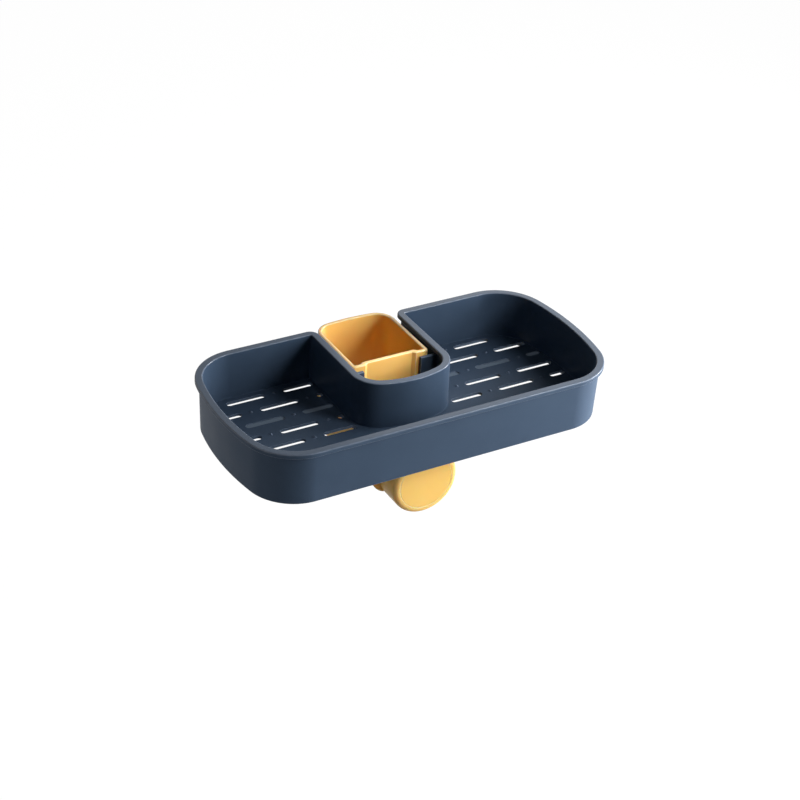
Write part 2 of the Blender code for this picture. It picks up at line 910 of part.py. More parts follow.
def build():
    navy = material("navy plastic", (0.038, 0.068, 0.119), 0.42)
    amber = material("amber plastic", (0.95, 0.54, 0.145), 0.34)
    rubber = material("black rubber", (0.03, 0.03, 0.032), 0.8)
    steel = material("zinc plated steel", (0.62, 0.63, 0.65), 0.32, 1.0)
    make_tray(navy)
    make_clamp_body(amber)
    screw = make_screw(steel)
    make_nut(steel)
    jaw = make_jaw(amber)
    clip = make_clip(steel)
    jaw_pad = make_pads(rubber)
    knob = make_knob(amber)
    cap = make_cap(amber)

    # The screw's axis carries the jaw's travel and the knob's turn
    travel = bpy.data.objects.new("jaw_travel_axis", None)
    spin = bpy.data.objects.new("knob_turn_axis", None)
    for axis in (travel, spin):
        parts.objects.link(axis)
    spin.parent = travel
    for piece in (jaw, jaw_pad):
        piece.parent = travel
    for piece in (screw, clip, knob, cap):
        piece.parent = spin


build()
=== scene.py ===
# Clamp-on soap dish: the finished look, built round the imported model.
# Metres, +Z up, +Y towards the wall, origin on the clamped pipe's axis at the height of the screw.
import math

import bmesh
import bpy
import numpy as np
from mathutils import Matrix, Vector
from mathutils.geometry import delaunay_2d_cdt


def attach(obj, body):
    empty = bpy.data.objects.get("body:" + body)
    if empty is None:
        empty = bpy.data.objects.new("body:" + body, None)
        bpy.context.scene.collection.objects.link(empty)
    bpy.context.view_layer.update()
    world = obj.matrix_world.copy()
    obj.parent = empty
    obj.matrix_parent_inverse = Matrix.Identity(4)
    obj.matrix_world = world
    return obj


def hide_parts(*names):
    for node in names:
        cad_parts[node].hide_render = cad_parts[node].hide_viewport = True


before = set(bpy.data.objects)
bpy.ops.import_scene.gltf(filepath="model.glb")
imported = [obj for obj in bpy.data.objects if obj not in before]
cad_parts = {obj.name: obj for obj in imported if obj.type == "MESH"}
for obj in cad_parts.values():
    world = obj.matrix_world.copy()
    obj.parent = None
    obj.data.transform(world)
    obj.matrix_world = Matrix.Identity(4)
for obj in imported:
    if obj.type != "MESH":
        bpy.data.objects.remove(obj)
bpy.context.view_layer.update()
scene = bpy.context.scene
mm = 0.001
weld = 0.0002 * mm  # points nearer than this are one
join = 0.5 * mm  # features of one moulding run this far into each other
overcut = 2 * mm  # cutters reach this far beyond what they cut
longestStep = 2 * mm  # the clamp body's long straights are divided into steps of this length at most
quarter = math.pi / 2
print("frame loaded:", ", ".join(sorted(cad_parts)))


# Sizes written in millimetres and kept in metres
def inMillimetres(**sizes):
    return {key: value * mm for key, value in sizes.items()}


# One call makes a node, sets its plain values and sets or links its inputs; i0, i1 and so on are numbered ones
def addNode(tree, kind, settings=None, **inputs):
    node = tree.nodes.new(kind)
    for key, value in (settings or {}).items():
        setattr(node, key, value)
    for key, value in inputs.items():
        socket = node.inputs[int(key[1:]) if key[0] == "i" and key[1:].isdigit() else key]
        if isinstance(value, bpy.types.NodeSocket):
            tree.links.new(value, socket)
        else:
            socket.default_value = value
    return node


def mathNode(tree, operation, first, second, clamp=False):
    settings = dict(operation=operation, use_clamp=clamp)
    return addNode(tree, "ShaderNodeMath", settings, i0=first, i1=second).outputs[0]


def rangeNode(tree, value, low, high, toLow=0.0, toHigh=1.0):
    return addNode(tree, "ShaderNodeMapRange", i0=value, i1=low, i2=high, i3=toLow, i4=toHigh).outputs[0]


def noiseNode(tree, place, scale, detail, roughness):
    inputs = dict(Vector=place, Scale=scale, Detail=detail, Roughness=roughness)
    return addNode(tree, "ShaderNodeTexNoise", **inputs).outputs[0]


def markNode(tree, name):
    settings = dict(attribute_name=name, attribute_type="GEOMETRY")
    return addNode(tree, "ShaderNodeAttribute", settings).outputs["Fac"]


def mixColour(tree, factor, first, second):
    return addNode(tree, "ShaderNodeMix", dict(data_type="RGBA"), i0=factor, i6=first, i7=second).outputs[2]


def placeGroup(tree, group, **inputs):
    return addNode(tree, "ShaderNodeGroup", dict(node_tree=group), **inputs).outputs


# A group whose first input is the place on the piece, and whose second is one plain number
def newGroup(name, number, outputs):
    group = bpy.data.node_groups.new(name, "ShaderNodeTree")
    group.interface.new_socket("Place", in_out="INPUT", socket_type="NodeSocketVector")
    group.interface.new_socket(number, in_out="INPUT", socket_type="NodeSocketFloat")
    for label in outputs:
        group.interface.new_socket(label, in_out="OUTPUT", socket_type="NodeSocketFloat")
    return group, group.nodes.new("NodeGroupInput").outputs, group.nodes.new("NodeGroupOutput").inputs


# Scale, detail and roughness of each noise; the grain's own scale is set by each material. Sparse and soft are
# the levels that the specks and the patches start and end at, and the least that the patches leave
noiseSizes = dict(
    grain=(3.0, 0.6), broad=(46.0, 4.0, 0.55), rub=(130.0, 5.0, 0.65), patches=(22.0, 3.0, 0.5),
    specks=(900.0, 2.0, 0.7), sparse=(0.62, 0.8), soft=(0.35, 0.75, 0.25),
)


# Fine spark-eroded grain of a mould, with a broad unevenness under it: two noises of the object's own place
def makeGrainGroup():
    group, given, out = newGroup("mouldGrain", "Fineness", ["Height", "Mottle"])
    fine = noiseNode(group, given["Place"], given["Fineness"], *noiseSizes["grain"])
    group.links.new(fine, out["Height"])
    group.links.new(noiseNode(group, given["Place"], *noiseSizes["broad"]), out["Mottle"])
    return group


# Handling wear and a painted highlight on convex edges: the edge attribute times a noise, so that rubbed,
# highlit edges come and go
def makeWearAndSheenGroup():
    group, given, out = newGroup("edgeRubAndSheen", "Amount", ["Mask"])
    noise = noiseNode(group, given["Place"], *noiseSizes["rub"])
    broken = mathNode(group, "MULTIPLY", markNode(group, "edgeWearAndSheen"), noise)
    group.links.new(mathNode(group, "MULTIPLY", broken, given["Amount"], clamp=True), out["Mask"])
    return group


# Thin dry film and fine dust: sparse specks of a fine noise times soft patches of a broad one
def makeFilmGroup():
    group, given, out = newGroup("dryFilm", "Amount", ["Mask"])
    patches = noiseNode(group, given["Place"], *noiseSizes["patches"])
    specks = noiseNode(group, given["Place"], *noiseSizes["specks"])
    sparse = rangeNode(group, specks, *noiseSizes["sparse"])
    soft = rangeNode(group, patches, *noiseSizes["soft"])
    both = mathNode(group, "MULTIPLY", sparse, soft)
    group.links.new(mathNode(group, "MULTIPLY", both, given["Amount"], clamp=True), out["Mask"])
    return group


grainGroup, wearAndSheenGroup, filmGroup = makeGrainGroup(), makeWearAndSheenGroup(), makeFilmGroup()


# Base colour: deep to colour by the mottle, then to the rubbed colour by the mask of edge wear and painted edge
# highlight, and to dust by the film mask.
# Roughness: its range by the mottle, less that edge mask times rubShine, plus the film mask times filmDull.
# Normal: a bump of the grain. Coat: none to the polish between the lip's two heights. Thin webs take a lighter
# colour and a faint glow, both painted light for the light that comes through them from below
def makeSurface(name, look):
    made = bpy.data.materials.new(name)
    made.use_nodes = True
    tree = made.node_tree
    shader = tree.nodes["Principled BSDF"]
    place = tree.nodes.new("ShaderNodeTexCoord").outputs["Object"]
    along = place
    if "stretch" in look:
        along = addNode(tree, "ShaderNodeMapping", Vector=place, Scale=look["stretch"]).outputs[0]
    grain = placeGroup(tree, grainGroup, Place=along, Fineness=look["fineness"])
    wearAndSheen = placeGroup(tree, wearAndSheenGroup, Place=place, Amount=look["wearAndSheen"])["Mask"]
    film = placeGroup(tree, filmGroup, Place=place, Amount=look["film"])["Mask"]
    mottle = rangeNode(tree, grain["Mottle"], *look["mottle"])
    colour = mixColour(tree, mottle, (*look["deep"], 1), (*look["colour"], 1))
    # The rubbed colour on convex edges is handling wear and a painted edge highlight
    colour = mixColour(tree, wearAndSheen, colour, (*look["rubbedAndHighlit"], 1))
    colour = mixColour(tree, film, colour, (*look["dust"], 1))
    # The webs' lighter colour and glow are painted light, for light through the thin plastic from below
    if "web" in look:
        thin = markNode(tree, "thinWeb")
        colour = mixColour(tree, thin, colour, (*look["web"], 1))
        paintedGlow = mixColour(tree, thin, (0, 0, 0, 1), (*look["webPaintedGlow"], 1))
        tree.links.new(paintedGlow, shader.inputs["Emission Color"])
    tree.links.new(colour, shader.inputs["Base Color"])
    rough = rangeNode(tree, mottle, 0.0, 1.0, *look["rough"])
    rough = mathNode(tree, "SUBTRACT", rough, mathNode(tree, "MULTIPLY", wearAndSheen, look["rubShine"]))
    rough = mathNode(tree, "ADD", rough, mathNode(tree, "MULTIPLY", film, look["filmDull"]), clamp=True)
    tree.links.new(rough, shader.inputs["Roughness"])
    relief = dict(Height=grain["Height"], Strength=look["bump"], Distance=look["depth"])
    tree.links.new(addNode(tree, "ShaderNodeBump", **relief).outputs[0], shader.inputs["Normal"])
    if "polish" in look:
        height = addNode(tree, "ShaderNodeSeparateXYZ", Vector=place).outputs["Z"]
        coat = rangeNode(tree, height, *look["lip"], 0.0, look["polish"])
        tree.links.new(coat, shader.inputs["Coat Weight"])
    for key, value in look["plain"].items():
        shader.inputs[key].default_value = value
    return made


looks = dict(
    navyPlastic=dict(
        # rubbed: handling wear and a painted light line along the rims' edges
        colour=(0.047, 0.075, 0.121), deep=(0.042, 0.068, 0.111), rubbedAndHighlit=(0.14, 0.18, 0.25),
        dust=(0.3, 0.31, 0.33), rough=(0.46, 0.53), rubShine=0.12, filmDull=0.3, wearAndSheen=1.8, film=0.1,
        mottle=(0.3, 0.7), fineness=2600.0, bump=0.35, depth=0.03 * mm, lip=(75.3 * mm, 75.9 * mm), polish=0.5,
        # web and webPaintedGlow: painted light for the light through the thin webs from below
        web=(0.115, 0.155, 0.205), webPaintedGlow=(0.018, 0.022, 0.028),
        plain={"IOR": 1.5, "Specular IOR Level": 0.1, "Coat Roughness": 0.16, "Emission Strength": 1.0},
    ),
    amberPlastic=dict(
        # rubbed: cream, handling wear and a painted highlight along the rims and edges
        colour=(0.94, 0.56, 0.165), deep=(0.92, 0.54, 0.15), rubbedAndHighlit=(0.98, 0.82, 0.54),
        dust=(0.8, 0.66, 0.5), rough=(0.36, 0.43), rubShine=0.12, filmDull=0.3, wearAndSheen=1.3, film=0.06,
        mottle=(0.3, 0.7), fineness=2200.0, bump=0.12, depth=0.02 * mm, lip=(72.3 * mm, 72.9 * mm), polish=1.0,
        plain={
            "IOR": 1.49, "Specular IOR Level": 0.1, "Coat Roughness": 0.16, "Subsurface Weight": 0.4,
            "Subsurface Radius": (4.6, 2.3, 0.8), "Subsurface Scale": 1.0 * mm,
        },
    ),
    padRubber=dict(
        colour=(0.02, 0.02, 0.021), deep=(0.014, 0.014, 0.015), rubbedAndHighlit=(0.07, 0.07, 0.072),
        dust=(0.25, 0.24, 0.23), rough=(0.74, 0.85), rubShine=0.12, filmDull=0.3, wearAndSheen=0.7, film=0.25,
        mottle=(0.3, 0.7), fineness=1500.0, bump=0.5, depth=0.06 * mm,
        plain={"IOR": 1.5, "Specular IOR Level": 0.3},
    ),
    # Zinc plating: slightly blue or yellow in drifting patches, with its grain finest along the screw's axis
    zincSteel=dict(
        colour=(0.66, 0.65, 0.6), deep=(0.58, 0.61, 0.66), rubbedAndHighlit=(0.82, 0.83, 0.84),
        dust=(0.35, 0.34, 0.32), rough=(0.24, 0.36), rubShine=0.0, filmDull=0.0, wearAndSheen=0.8, film=0.15,
        mottle=(0.35, 0.65), fineness=1800.0, bump=0.2, depth=0.02 * mm, stretch=(1.0, 6.0, 1.0),
        plain={"Metallic": 1.0},
    ),
)
materials = {name: makeSurface(name, look) for name, look in looks.items()}
print("materials made:", ", ".join(materials))


# Points on a circle, evenly spaced from one angle to the other
def arcPoints(centre, radius, start, end, steps):
    turn = np.linspace(start, end, steps + 1)
    return np.stack([centre[0] + radius * np.cos(turn), centre[1] + radius * np.sin(turn)], axis=1)


# An open line with its corners rounded: each corner becomes an arc that touches both straights, and its
# points are the two touching spokes mixed by sines, as between two directions on a circle
def roundedLine(points, radii, steps=5):
    points = np.asarray(points, float)
    pieces = [points[:1]]
    share = np.linspace(0.0, 1.0, steps + 1)[:, None]
    for before, corner, after, radius in zip(points[:-2], points[1:-1], points[2:], radii):
        if radius <= 0:
            pieces.append(corner[None])
            continue
        back = (before - corner) / np.linalg.norm(before - corner)
        ahead = (after - corner) / np.linalg.norm(after - corner)
        half = math.acos(float(np.clip(back @ ahead, -1, 1))) / 2
        sweep = math.pi - 2 * half
        centre = corner + (back + ahead) / np.linalg.norm(back + ahead) * radius / math.sin(half)
        first = corner + back * radius / math.tan(half) - centre
        last = corner + ahead * radius / math.tan(half) - centre
        spokes = np.sin((1 - share) * sweep) * first + np.sin(share * sweep) * last
        pieces.append(centre + spokes / math.sin(sweep))
    pieces.append(points[-1:])
    return np.concatenate(pieces)


# A closed line with its corners rounded in the same way
def roundedRing(points, radii, steps=5):
    points = np.asarray(points, float)
    around = np.concatenate([points[-1:], points, points[:1]])
    return roundedLine(around, radii, steps)[1:-1]


# How many steps, none over the longest, each straight of a ring takes
def stepCounts(ring):
    lengths = np.linalg.norm(np.roll(ring, -1, axis=0) - ring, axis=1)
    return np.maximum(np.ceil(lengths / longestStep).astype(int), 1)


# Each straight of a ring split into equal shares, the same number at every inset
def splitRing(ring, counts):
    ends = np.roll(ring, -1, axis=0)
    index = np.repeat(np.arange(len(ring)), counts)
    first = np.concatenate([[0], np.cumsum(counts)[:-1]])
    share = (np.arange(len(index)) - np.repeat(first, counts)) / np.repeat(counts, counts)
    return ring[index] + (ends[index] - ring[index]) * share[:, None]


# The right half of a ring, from the front to the back, closed with its mirror image
def mirroredRing(half):
    left = half[::-1] * (-1.0, 1.0)
    keep = np.ones(len(left), bool)
    keep[0] = abs(half[-1, 0]) > weld
    keep[-1] = abs(half[0, 0]) > weld
    return np.concatenate([half, left[keep]])


# Rows of points, as an array of rows by columns by 3, become quads; either way round may close on itself
def gridPatch(points, closeRows=False, closeColumns=False):
    rows, columns = points.shape[:2]
    index = np.arange(rows * columns).reshape(rows, columns)
    if closeRows:
        index = np.concatenate([index, index[:1]])
    if closeColumns:
        index = np.concatenate([index, index[:, :1]], axis=1)
    quads = np.stack([index[:-1, :-1], index[:-1, 1:], index[1:, 1:], index[1:, :-1]], axis=-1)
    return points.reshape(-1, 3), quads.reshape(-1, 4).tolist()


def ringAt(line, height):
    return np.column_stack([line, np.broadcast_to(height, len(line))])


# A flat region inside one ring and outside others, cut into triangles at the first ring's height
def flatPatch(rings):
    flat = np.concatenate([ring[:, :2] for ring in rings])
    edges, start = [], 0
    for ring in rings:
        own = np.arange(start, start + len(ring))
        edges.append(np.stack([own, np.roll(own, -1)], axis=1))
        start += len(ring)
    outer = list(range(len(rings[0])))
    found = delaunay_2d_cdt([Vector(p) for p in flat], np.concatenate(edges).tolist(), [outer], 2, 1e-9)
    corners = np.array([tuple(v) for v in found[0]])
    return ringAt(corners, rings[0][0, 2]), [list(face) for face in found[2]]


# A stack of rings with a flat region at both ends
def closedStack(rings):
    return [gridPatch(np.array(rings), closeColumns=True), flatPatch([rings[0]]), flatPatch([rings[-1]])]


# Patches built lying down, with their height turned along Y
def laidAlongY(patches):
    return [(points[:, [0, 2, 1]], faces) for points, faces in patches]


# Patches joined into one closed mesh: doubles merged and faces turned outwards
def meshPiece(name, patches):
    points, faces, start = [], [], 0
    for patchPoints, patchFaces in patches:
        points.append(patchPoints)
        faces += [[start + i for i in face] for face in patchFaces]
        start += len(patchPoints)
    mesh = bpy.data.meshes.new(name)
    mesh.from_pydata(np.concatenate(points).tolist(), [], faces)
    shape = bmesh.new()
    shape.from_mesh(mesh)
    bmesh.ops.remove_doubles(shape, verts=shape.verts, dist=weld)
    bmesh.ops.dissolve_degenerate(shape, dist=weld, edges=shape.edges)
    bmesh.ops.recalc_face_normals(shape, faces=shape.faces)
    openEdges = sum(1 for edge in shape.edges if len(edge.link_faces) != 2)
    shape.to_mesh(mesh)
    shape.free()
    mesh.shade_smooth()
    piece = bpy.data.objects.new(name, mesh)
    scene.collection.objects.link(piece)
    if openEdges:
        print(f"  {name}: {openEdges} edges are not shared by two faces")
    return piece


# Modifiers turned into plain mesh, so that the edge marks, and any later use of the mesh, see the final faces
def applyModifiers(piece):
    bpy.context.view_layer.update()
    seen = piece.evaluated_get(bpy.context.evaluated_depsgraph_get())
    done = bpy.data.meshes.new_from_object(seen)
    piece.modifiers.clear()
    old, piece.data = piece.data, done
    bpy.data.meshes.remove(old)
    done.name = piece.name


def addStep(piece, name, kind, **settings):
    step = piece.modifiers.new(name, kind)
    for key, value in settings.items():
        setattr(step, key, value)


def cutWith(piece, cutters):
    for cutter in cutters:
        addStep(piece, cutter.name, "BOOLEAN", operation="DIFFERENCE", solver="EXACT", object=cutter)
    applyModifiers(piece)
    for cutter in cutters:
        bpy.data.objects.remove(cutter)
    piece.data.shade_smooth()
    return piece


# How convex the surface is at each vertex, kept as an attribute for the wear and the painted edge highlight: the
# turn between the two faces of an outward edge over the distance of their centres, times a small radius. A turn
# of under 3 degrees is only the next face of a flat or a wide curve, and counts as none
bendSizes = dict(radius=0.6 * mm, least=math.radians(3), full=math.radians(6))


def meshArray(items, key, width, kind=float):
    values = np.zeros(len(items) * width, kind)
    items.foreach_get(key, values)
    return values.reshape(-1, width) if width > 1 else values


def markEdges(piece):
    mesh = piece.data
    edgeOfLoop = meshArray(mesh.loops, "edge_index", 1, np.int32)
    totals = meshArray(mesh.polygons, "loop_total", 1, np.int32)
    normals, centres = (meshArray(mesh.polygons, key, 3) for key in ("normal", "center"))
    ends = meshArray(mesh.edges, "vertices", 2, np.int32)
    faceOfLoop = np.repeat(np.arange(len(totals)), totals)
    order = np.argsort(edgeOfLoop, kind="stable")
    uses = np.bincount(edgeOfLoop, minlength=len(ends))
    first = np.concatenate([[0], np.cumsum(uses)[:-1]])
    pair = uses == 2
    one, two = faceOfLoop[order[first[pair]]], faceOfLoop[order[first[pair] + 1]]
    turn = np.arccos(np.clip((normals[one] * normals[two]).sum(1), -1, 1))
    step = centres[two] - centres[one]
    bend = turn / np.maximum(np.linalg.norm(step, axis=1), weld)
    real = np.clip((turn - bendSizes["least"]) / (bendSizes["full"] - bendSizes["least"]), 0, 1)
    value = np.where((step * normals[one]).sum(1) < 0, np.clip(bend * bendSizes["radius"], 0, 1) * real, 0.0)
    marks = np.zeros(len(mesh.vertices))
    np.maximum.at(marks, ends[pair].ravel(), np.repeat(value, 2))
    mesh.attributes.new("edgeWearAndSheen", "FLOAT", "POINT").data.foreach_set("value", marks.astype(np.float32))


# The last steps of every piece: its material, edge marks, normals weighted by face area, body and node
def finishPiece(piece, material, body, node, sharp=None):
    piece.data.materials.clear()
    piece.data.materials.append(materials[material])
    piece.data.shade_smooth()
    if sharp:
        piece.data.set_sharp_from_angle(angle=math.radians(sharp))
    markEdges(piece)
    addStep(piece, "normals", "WEIGHTED_NORMAL", mode="FACE_AREA", weight=80, keep_sharp=True)
    applyModifiers(piece)
    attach(piece, body)
    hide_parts(node)
    print(f"piece {piece.name}: {len(piece.data.polygons)} faces")


def joinPieces(name, pieces):
    shape = bmesh.new()
    for piece in pieces:
        shape.from_mesh(piece.data)
        bpy.data.objects.remove(piece)
    mesh = bpy.data.meshes.new(name)
    shape.to_mesh(mesh)
    shape.free()
    joined = bpy.data.objects.new(name, mesh)
    scene.collection.objects.link(joined)
    return joined


# An outline drawn in by a distance: each corner moves along the sum of the two edges' normals, divided by one
# plus their product, so that both edges move by the same amount
def drawnIn(ring, distance):
    ahead = np.roll(ring, -1, axis=0) - ring
    ahead /= np.linalg.norm(ahead, axis=1)[:, None]
    after = np.stack([ahead[:, 1], -ahead[:, 0]], axis=1)
    before = np.roll(after, 1, axis=0)
    area = (ring[:, 0] * np.roll(ring[:, 1], -1) - np.roll(ring[:, 0], -1) * ring[:, 1]).sum()
    spread = (before + after) / (1 + (before * after).sum(1))[:, None]
    return ring - spread * distance * math.copysign(1, area)


softSteps = 3
# A block's corners are rounded a little more than its edges, so that the drawn-in outline keeps its points
cornerOverEdge = 1.05


# A prism with rounded edges: its outline is drawn in along a quarter circle at both ends
def softPrism(name, ring, low, high, edge, alongY=False):
    turn = np.linspace(0, quarter, softSteps + 1)
    inset, rise = edge * (1 - np.sin(turn)), edge * (1 - np.cos(turn))
    insets = np.concatenate([inset, inset[::-1]])
    heights = np.concatenate([low + rise, high - rise[::-1]])
    patches = closedStack([ringAt(drawnIn(ring, draw), level) for draw, level in zip(insets, heights)])
    return meshPiece(name, laidAlongY(patches) if alongY else patches)


# A block with rounded edges, between two opposite corners
def roundedBlock(name, low, high, radius, alongY=False):
    a, b, c = (0, 2, 1) if alongY else (0, 1, 2)
    corners = [(low[a], low[b]), (high[a], low[b]), (high[a], high[b]), (low[a], high[b])]
    ring = roundedRing(corners, [radius * cornerOverEdge] * 4, softSteps)
    return softPrism(name, ring, low[c], high[c], radius, alongY)


# The same with its two ends along X, Y and Z given for the right side, and mirrored where the side is -1
def sideBlock(name, side, x, y, z, radius, alongY=False):
    low, high = sorted((side * x[0], side * x[1]))
    return roundedBlock(name, (low, y[0], z[0]), (high, y[1], z[1]), radius, alongY)


# An outline in X and Z given length along Y
def yPrism(name, ring, low, high):
    return meshPiece(name, laidAlongY(closedStack([ringAt(ring, low), ringAt(ring, high)])))


# Evenly spaced points round the origin; the radius is one number, or one for each point
def circle(radius, steps):
    turn = np.linspace(0, 2 * math.pi, steps, endpoint=False)
    return np.column_stack([radius * np.cos(turn), radius * np.sin(turn)])


# A full circle given length along Y
def yCylinder(name, radius, low, high, steps=48):
    return yPrism(name, circle(radius, steps), low, high)


# Rows of (radius, y) turned about the Y axis, and closed into a ring or by a flat end at both sides
def turnedPiece(name, rows, steps):
    rings = np.array([ringAt(circle(radius, steps), y) for radius, y in rows])
    return meshPiece(name, laidAlongY([gridPatch(rings, closeRows=True, closeColumns=True)]))


def turnedSolid(name, rows, steps):
    return meshPiece(name, laidAlongY(closedStack([ringAt(circle(radius, steps), y) for radius, y in rows])))


# Tray
traySizes = dict(
    rows=8, columns=4, blindRow=1.5, floorStart=1.03, wallSteps=6, slotSteps=10, edgeSteps=3, cornerSteps=20,
    endSteps=28, mouthSteps=8, elbowSteps=16, bowSteps=14, pipRings=7, pipSides=14, pipMiddle=0.02,
    **inMillimetres(
        length=300.0, depth=147.3, backY=4.3, rimZ=76.4, height=43.4, cornerRadius=40.2, endRadius=216.8,
        notchHalfWidth=34.2, notchFrontGap=59.8, notchCorner=16.6, notchBow=72.7, notchMouth=7.3, sharpest=0.8,
        overhang=3.0, rimHeight=3.6, wall=2.7, outerDraft=1.0, innerDraft=0.8, floorTop=6.1, floorThickness=2.2,
        footWidth=2.2, innerRimRound=0.8, outerRimRound=0.9, lipRound=0.5, underLipRound=0.35, footRound=0.6,
        footInnerRound=0.3, floorRound=0.5, slotLength=31.2, slotWidth=4.8, slotPitch=46.4, slotMargin=8.3,
        shortestSlot=3.5, slotRound=0.2, rowPitch=16.4, rowShift=2.0, evenStart=51.4, oddStart=31.8,
        pipRadius=1.7, pipHeight=1.0, pipSink=0.02, pocketDepth=0.8, webLedge=0.9, webFoot=0.6, webDrop=0.2,
        webRound=0.25, webNear=0.01, ribThickness=3.0, ribTopDrop=6.8, ribFreeEdge=24.0, ribY=-52.6,
        ribRound=0.5,
    ),
)


# How far a circle reaches sideways at a distance from its middle
def circleReach(radius, away):
    return math.sqrt(max(radius**2 - away**2, 0.0))


# The outline is a row of arcs that touch: corner, bowed end, corner, the notch's mouth, its elbow and its bow.
# The middles and turns of these arcs are worked out here, for the outline and for the slots
def trayPlaces(t):
    p = dict(midY=t["backY"] - t["depth"] / 2, endX=t["length"] / 2 - t["endRadius"])
    p["cornerY"] = t["depth"] / 2 - t["cornerRadius"]
    p["cornerX"] = p["endX"] + circleReach(t["endRadius"] - t["cornerRadius"], p["cornerY"])
    p["cornerTurn"] = math.atan2(p["cornerY"], p["cornerX"] - p["endX"])
    p["bowY"] = t["backY"] - t["depth"] + t["notchFrontGap"] + t["notchBow"]
    p["elbowX"] = t["notchHalfWidth"] - t["notchCorner"]
    p["elbowY"] = p["bowY"] - circleReach(t["notchBow"] - t["notchCorner"], p["elbowX"])
    p["elbowTurn"] = math.atan2(p["elbowY"] - p["bowY"], p["elbowX"])
    return p


# The outline drawn in by a distance: most arcs lose it from their radius, and the notch's elbow and bow gain it
def trayOutline(t, p, inset):
    mouth = max(t["notchMouth"] - inset, t["sharpest"])
    mouthX, mouthY = t["notchHalfWidth"] + inset + mouth, t["backY"] - inset - mouth
    corner, end, turn = t["cornerRadius"] - inset, t["endRadius"] - inset, p["cornerTurn"]
    half = np.concatenate([
        arcPoints((p["cornerX"], p["midY"] - p["cornerY"]), corner, -quarter, -turn, t["cornerSteps"]),
        arcPoints((p["endX"], p["midY"]), end, -turn, turn, t["endSteps"])[1:],
        arcPoints((p["cornerX"], p["midY"] + p["cornerY"]), corner, turn, quarter, t["cornerSteps"])[1:],
        arcPoints((mouthX, mouthY), mouth, quarter, math.pi, t["mouthSteps"]),
        arcPoints((p["elbowX"], p["elbowY"]), t["notchCorner"] + inset, 0.0, p["elbowTurn"], t["elbowSteps"]),
        arcPoints((0.0, p["bowY"]), t["notchBow"] + inset, p["elbowTurn"], -quarter, t["bowSteps"])[1:],
    ])
    return mirroredRing(half)


# Where a row of slots may begin, a margin from the notch: beside its straight, its elbow or its bow
def rowBegins(t, p, y):
    elbow = t["notchCorner"] + t["slotMargin"]
    if y >= p["elbowY"]:
        return t["notchHalfWidth"] + t["slotMargin"]
    if p["elbowY"] - y < -elbow * math.sin(p["elbowTurn"]):
        return p["elbowX"] + circleReach(elbow, p["elbowY"] - y)
    return circleReach(t["notchBow"] + t["slotMargin"], p["bowY"] - y)


# Where it must end, a margin from the bowed end or from the corner
def rowEnds(t, p, away):
    if away <= p["cornerY"]:
        return p["endX"] + circleReach(t["endRadius"] - t["slotMargin"], away)
    return p["cornerX"] + circleReach(t["cornerRadius"] - t["slotMargin"], away - p["cornerY"])


# Every slot as (low x, high x, y, blind), and every pip as (x, y) halfway between slots
def slotPlaces(t, p):
    slots, pips = [], []
    half = t["slotLength"] / 2
    for row in range(t["rows"]):
        fromMiddle = row - (t["rows"] - 1) / 2
        y = p["midY"] + t["rowShift"] + t["rowPitch"] * fromMiddle
        blind = abs(fromMiddle) == t["blindRow"]
        even = (t["rows"] - 1 - row) % 2 == 0
        start = t["evenStart"] if even else t["oddStart"]
        inner, outer = rowBegins(t, p, y + t["slotWidth"] / 2), rowEnds(t, p, abs(y - p["midY"]))
        if even and inner == 0:
            slots.append((-half, half, y, blind))
            pips += [(-start / 2, y), (start / 2, y)]
        for step in range(t["columns"]):
            centre = start + t["slotPitch"] * step
            low, high = max(centre - half, inner), min(centre + half, outer)
            if high - low >= t["shortestSlot"]:
                low = min(low, high - t["slotWidth"])
                slots += [(low, high, y, blind), (-high, -low, y, blind)]
            between = centre + t["slotPitch"] / 2
            if inner + t["slotWidth"] < between < outer - t["slotWidth"]:
                pips += [(between, y), (-between, y)]
    return slots, pips


# A slot's outline at a height: two half circles, which close to one where the slot is no longer than wide
def slotRing(t, slot, radius, height):
    low, high, y = slot[:3]
    half = t["slotWidth"] / 2
    right = arcPoints((high - half, y), radius, -quarter, quarter, t["slotSteps"])
    left = arcPoints((low + half, y), radius, quarter, 3 * quarter, t["slotSteps"])
    if high - low - 2 * half < weld:
        right, left = right[:-1], left[:-1]
    return ringAt(np.concatenate([right, left]), height)


# Heights of the foot, of the floor's two sides and of the closed webs
def trayLevels(t):
    base = t["rimZ"] - t["height"]
    floor = base + t["floorTop"]
    return dict(base=base, floor=floor, under=floor - t["floorThickness"], web=floor - t["pocketDepth"])


# The wall's section as (inset, height): up the inside, over the rim, under the lip and down to the foot
def traySection(t, z):
    innerTop, lipZ = t["overhang"] + t["wall"], t["rimZ"] - t["rimHeight"]
    innerFoot, outerFoot = innerTop + t["innerDraft"], t["overhang"] + t["outerDraft"]
    corners = [
        (innerFoot + t["floorRound"] * t["floorStart"], z["floor"]), (innerFoot, z["floor"]),
        (innerTop, t["rimZ"]), (0.0, t["rimZ"]), (0.0, lipZ), (t["overhang"], lipZ), (outerFoot, z["base"]),
        (outerFoot + t["footWidth"], z["base"]), (outerFoot + t["footWidth"], z["under"]),
    ]
    rounds = ["floor", "innerRim", "outerRim", "lip", "underLip", "foot", "footInner"]
    return roundedLine(corners, [t[name + "Round"] for name in rounds], t["wallSteps"])


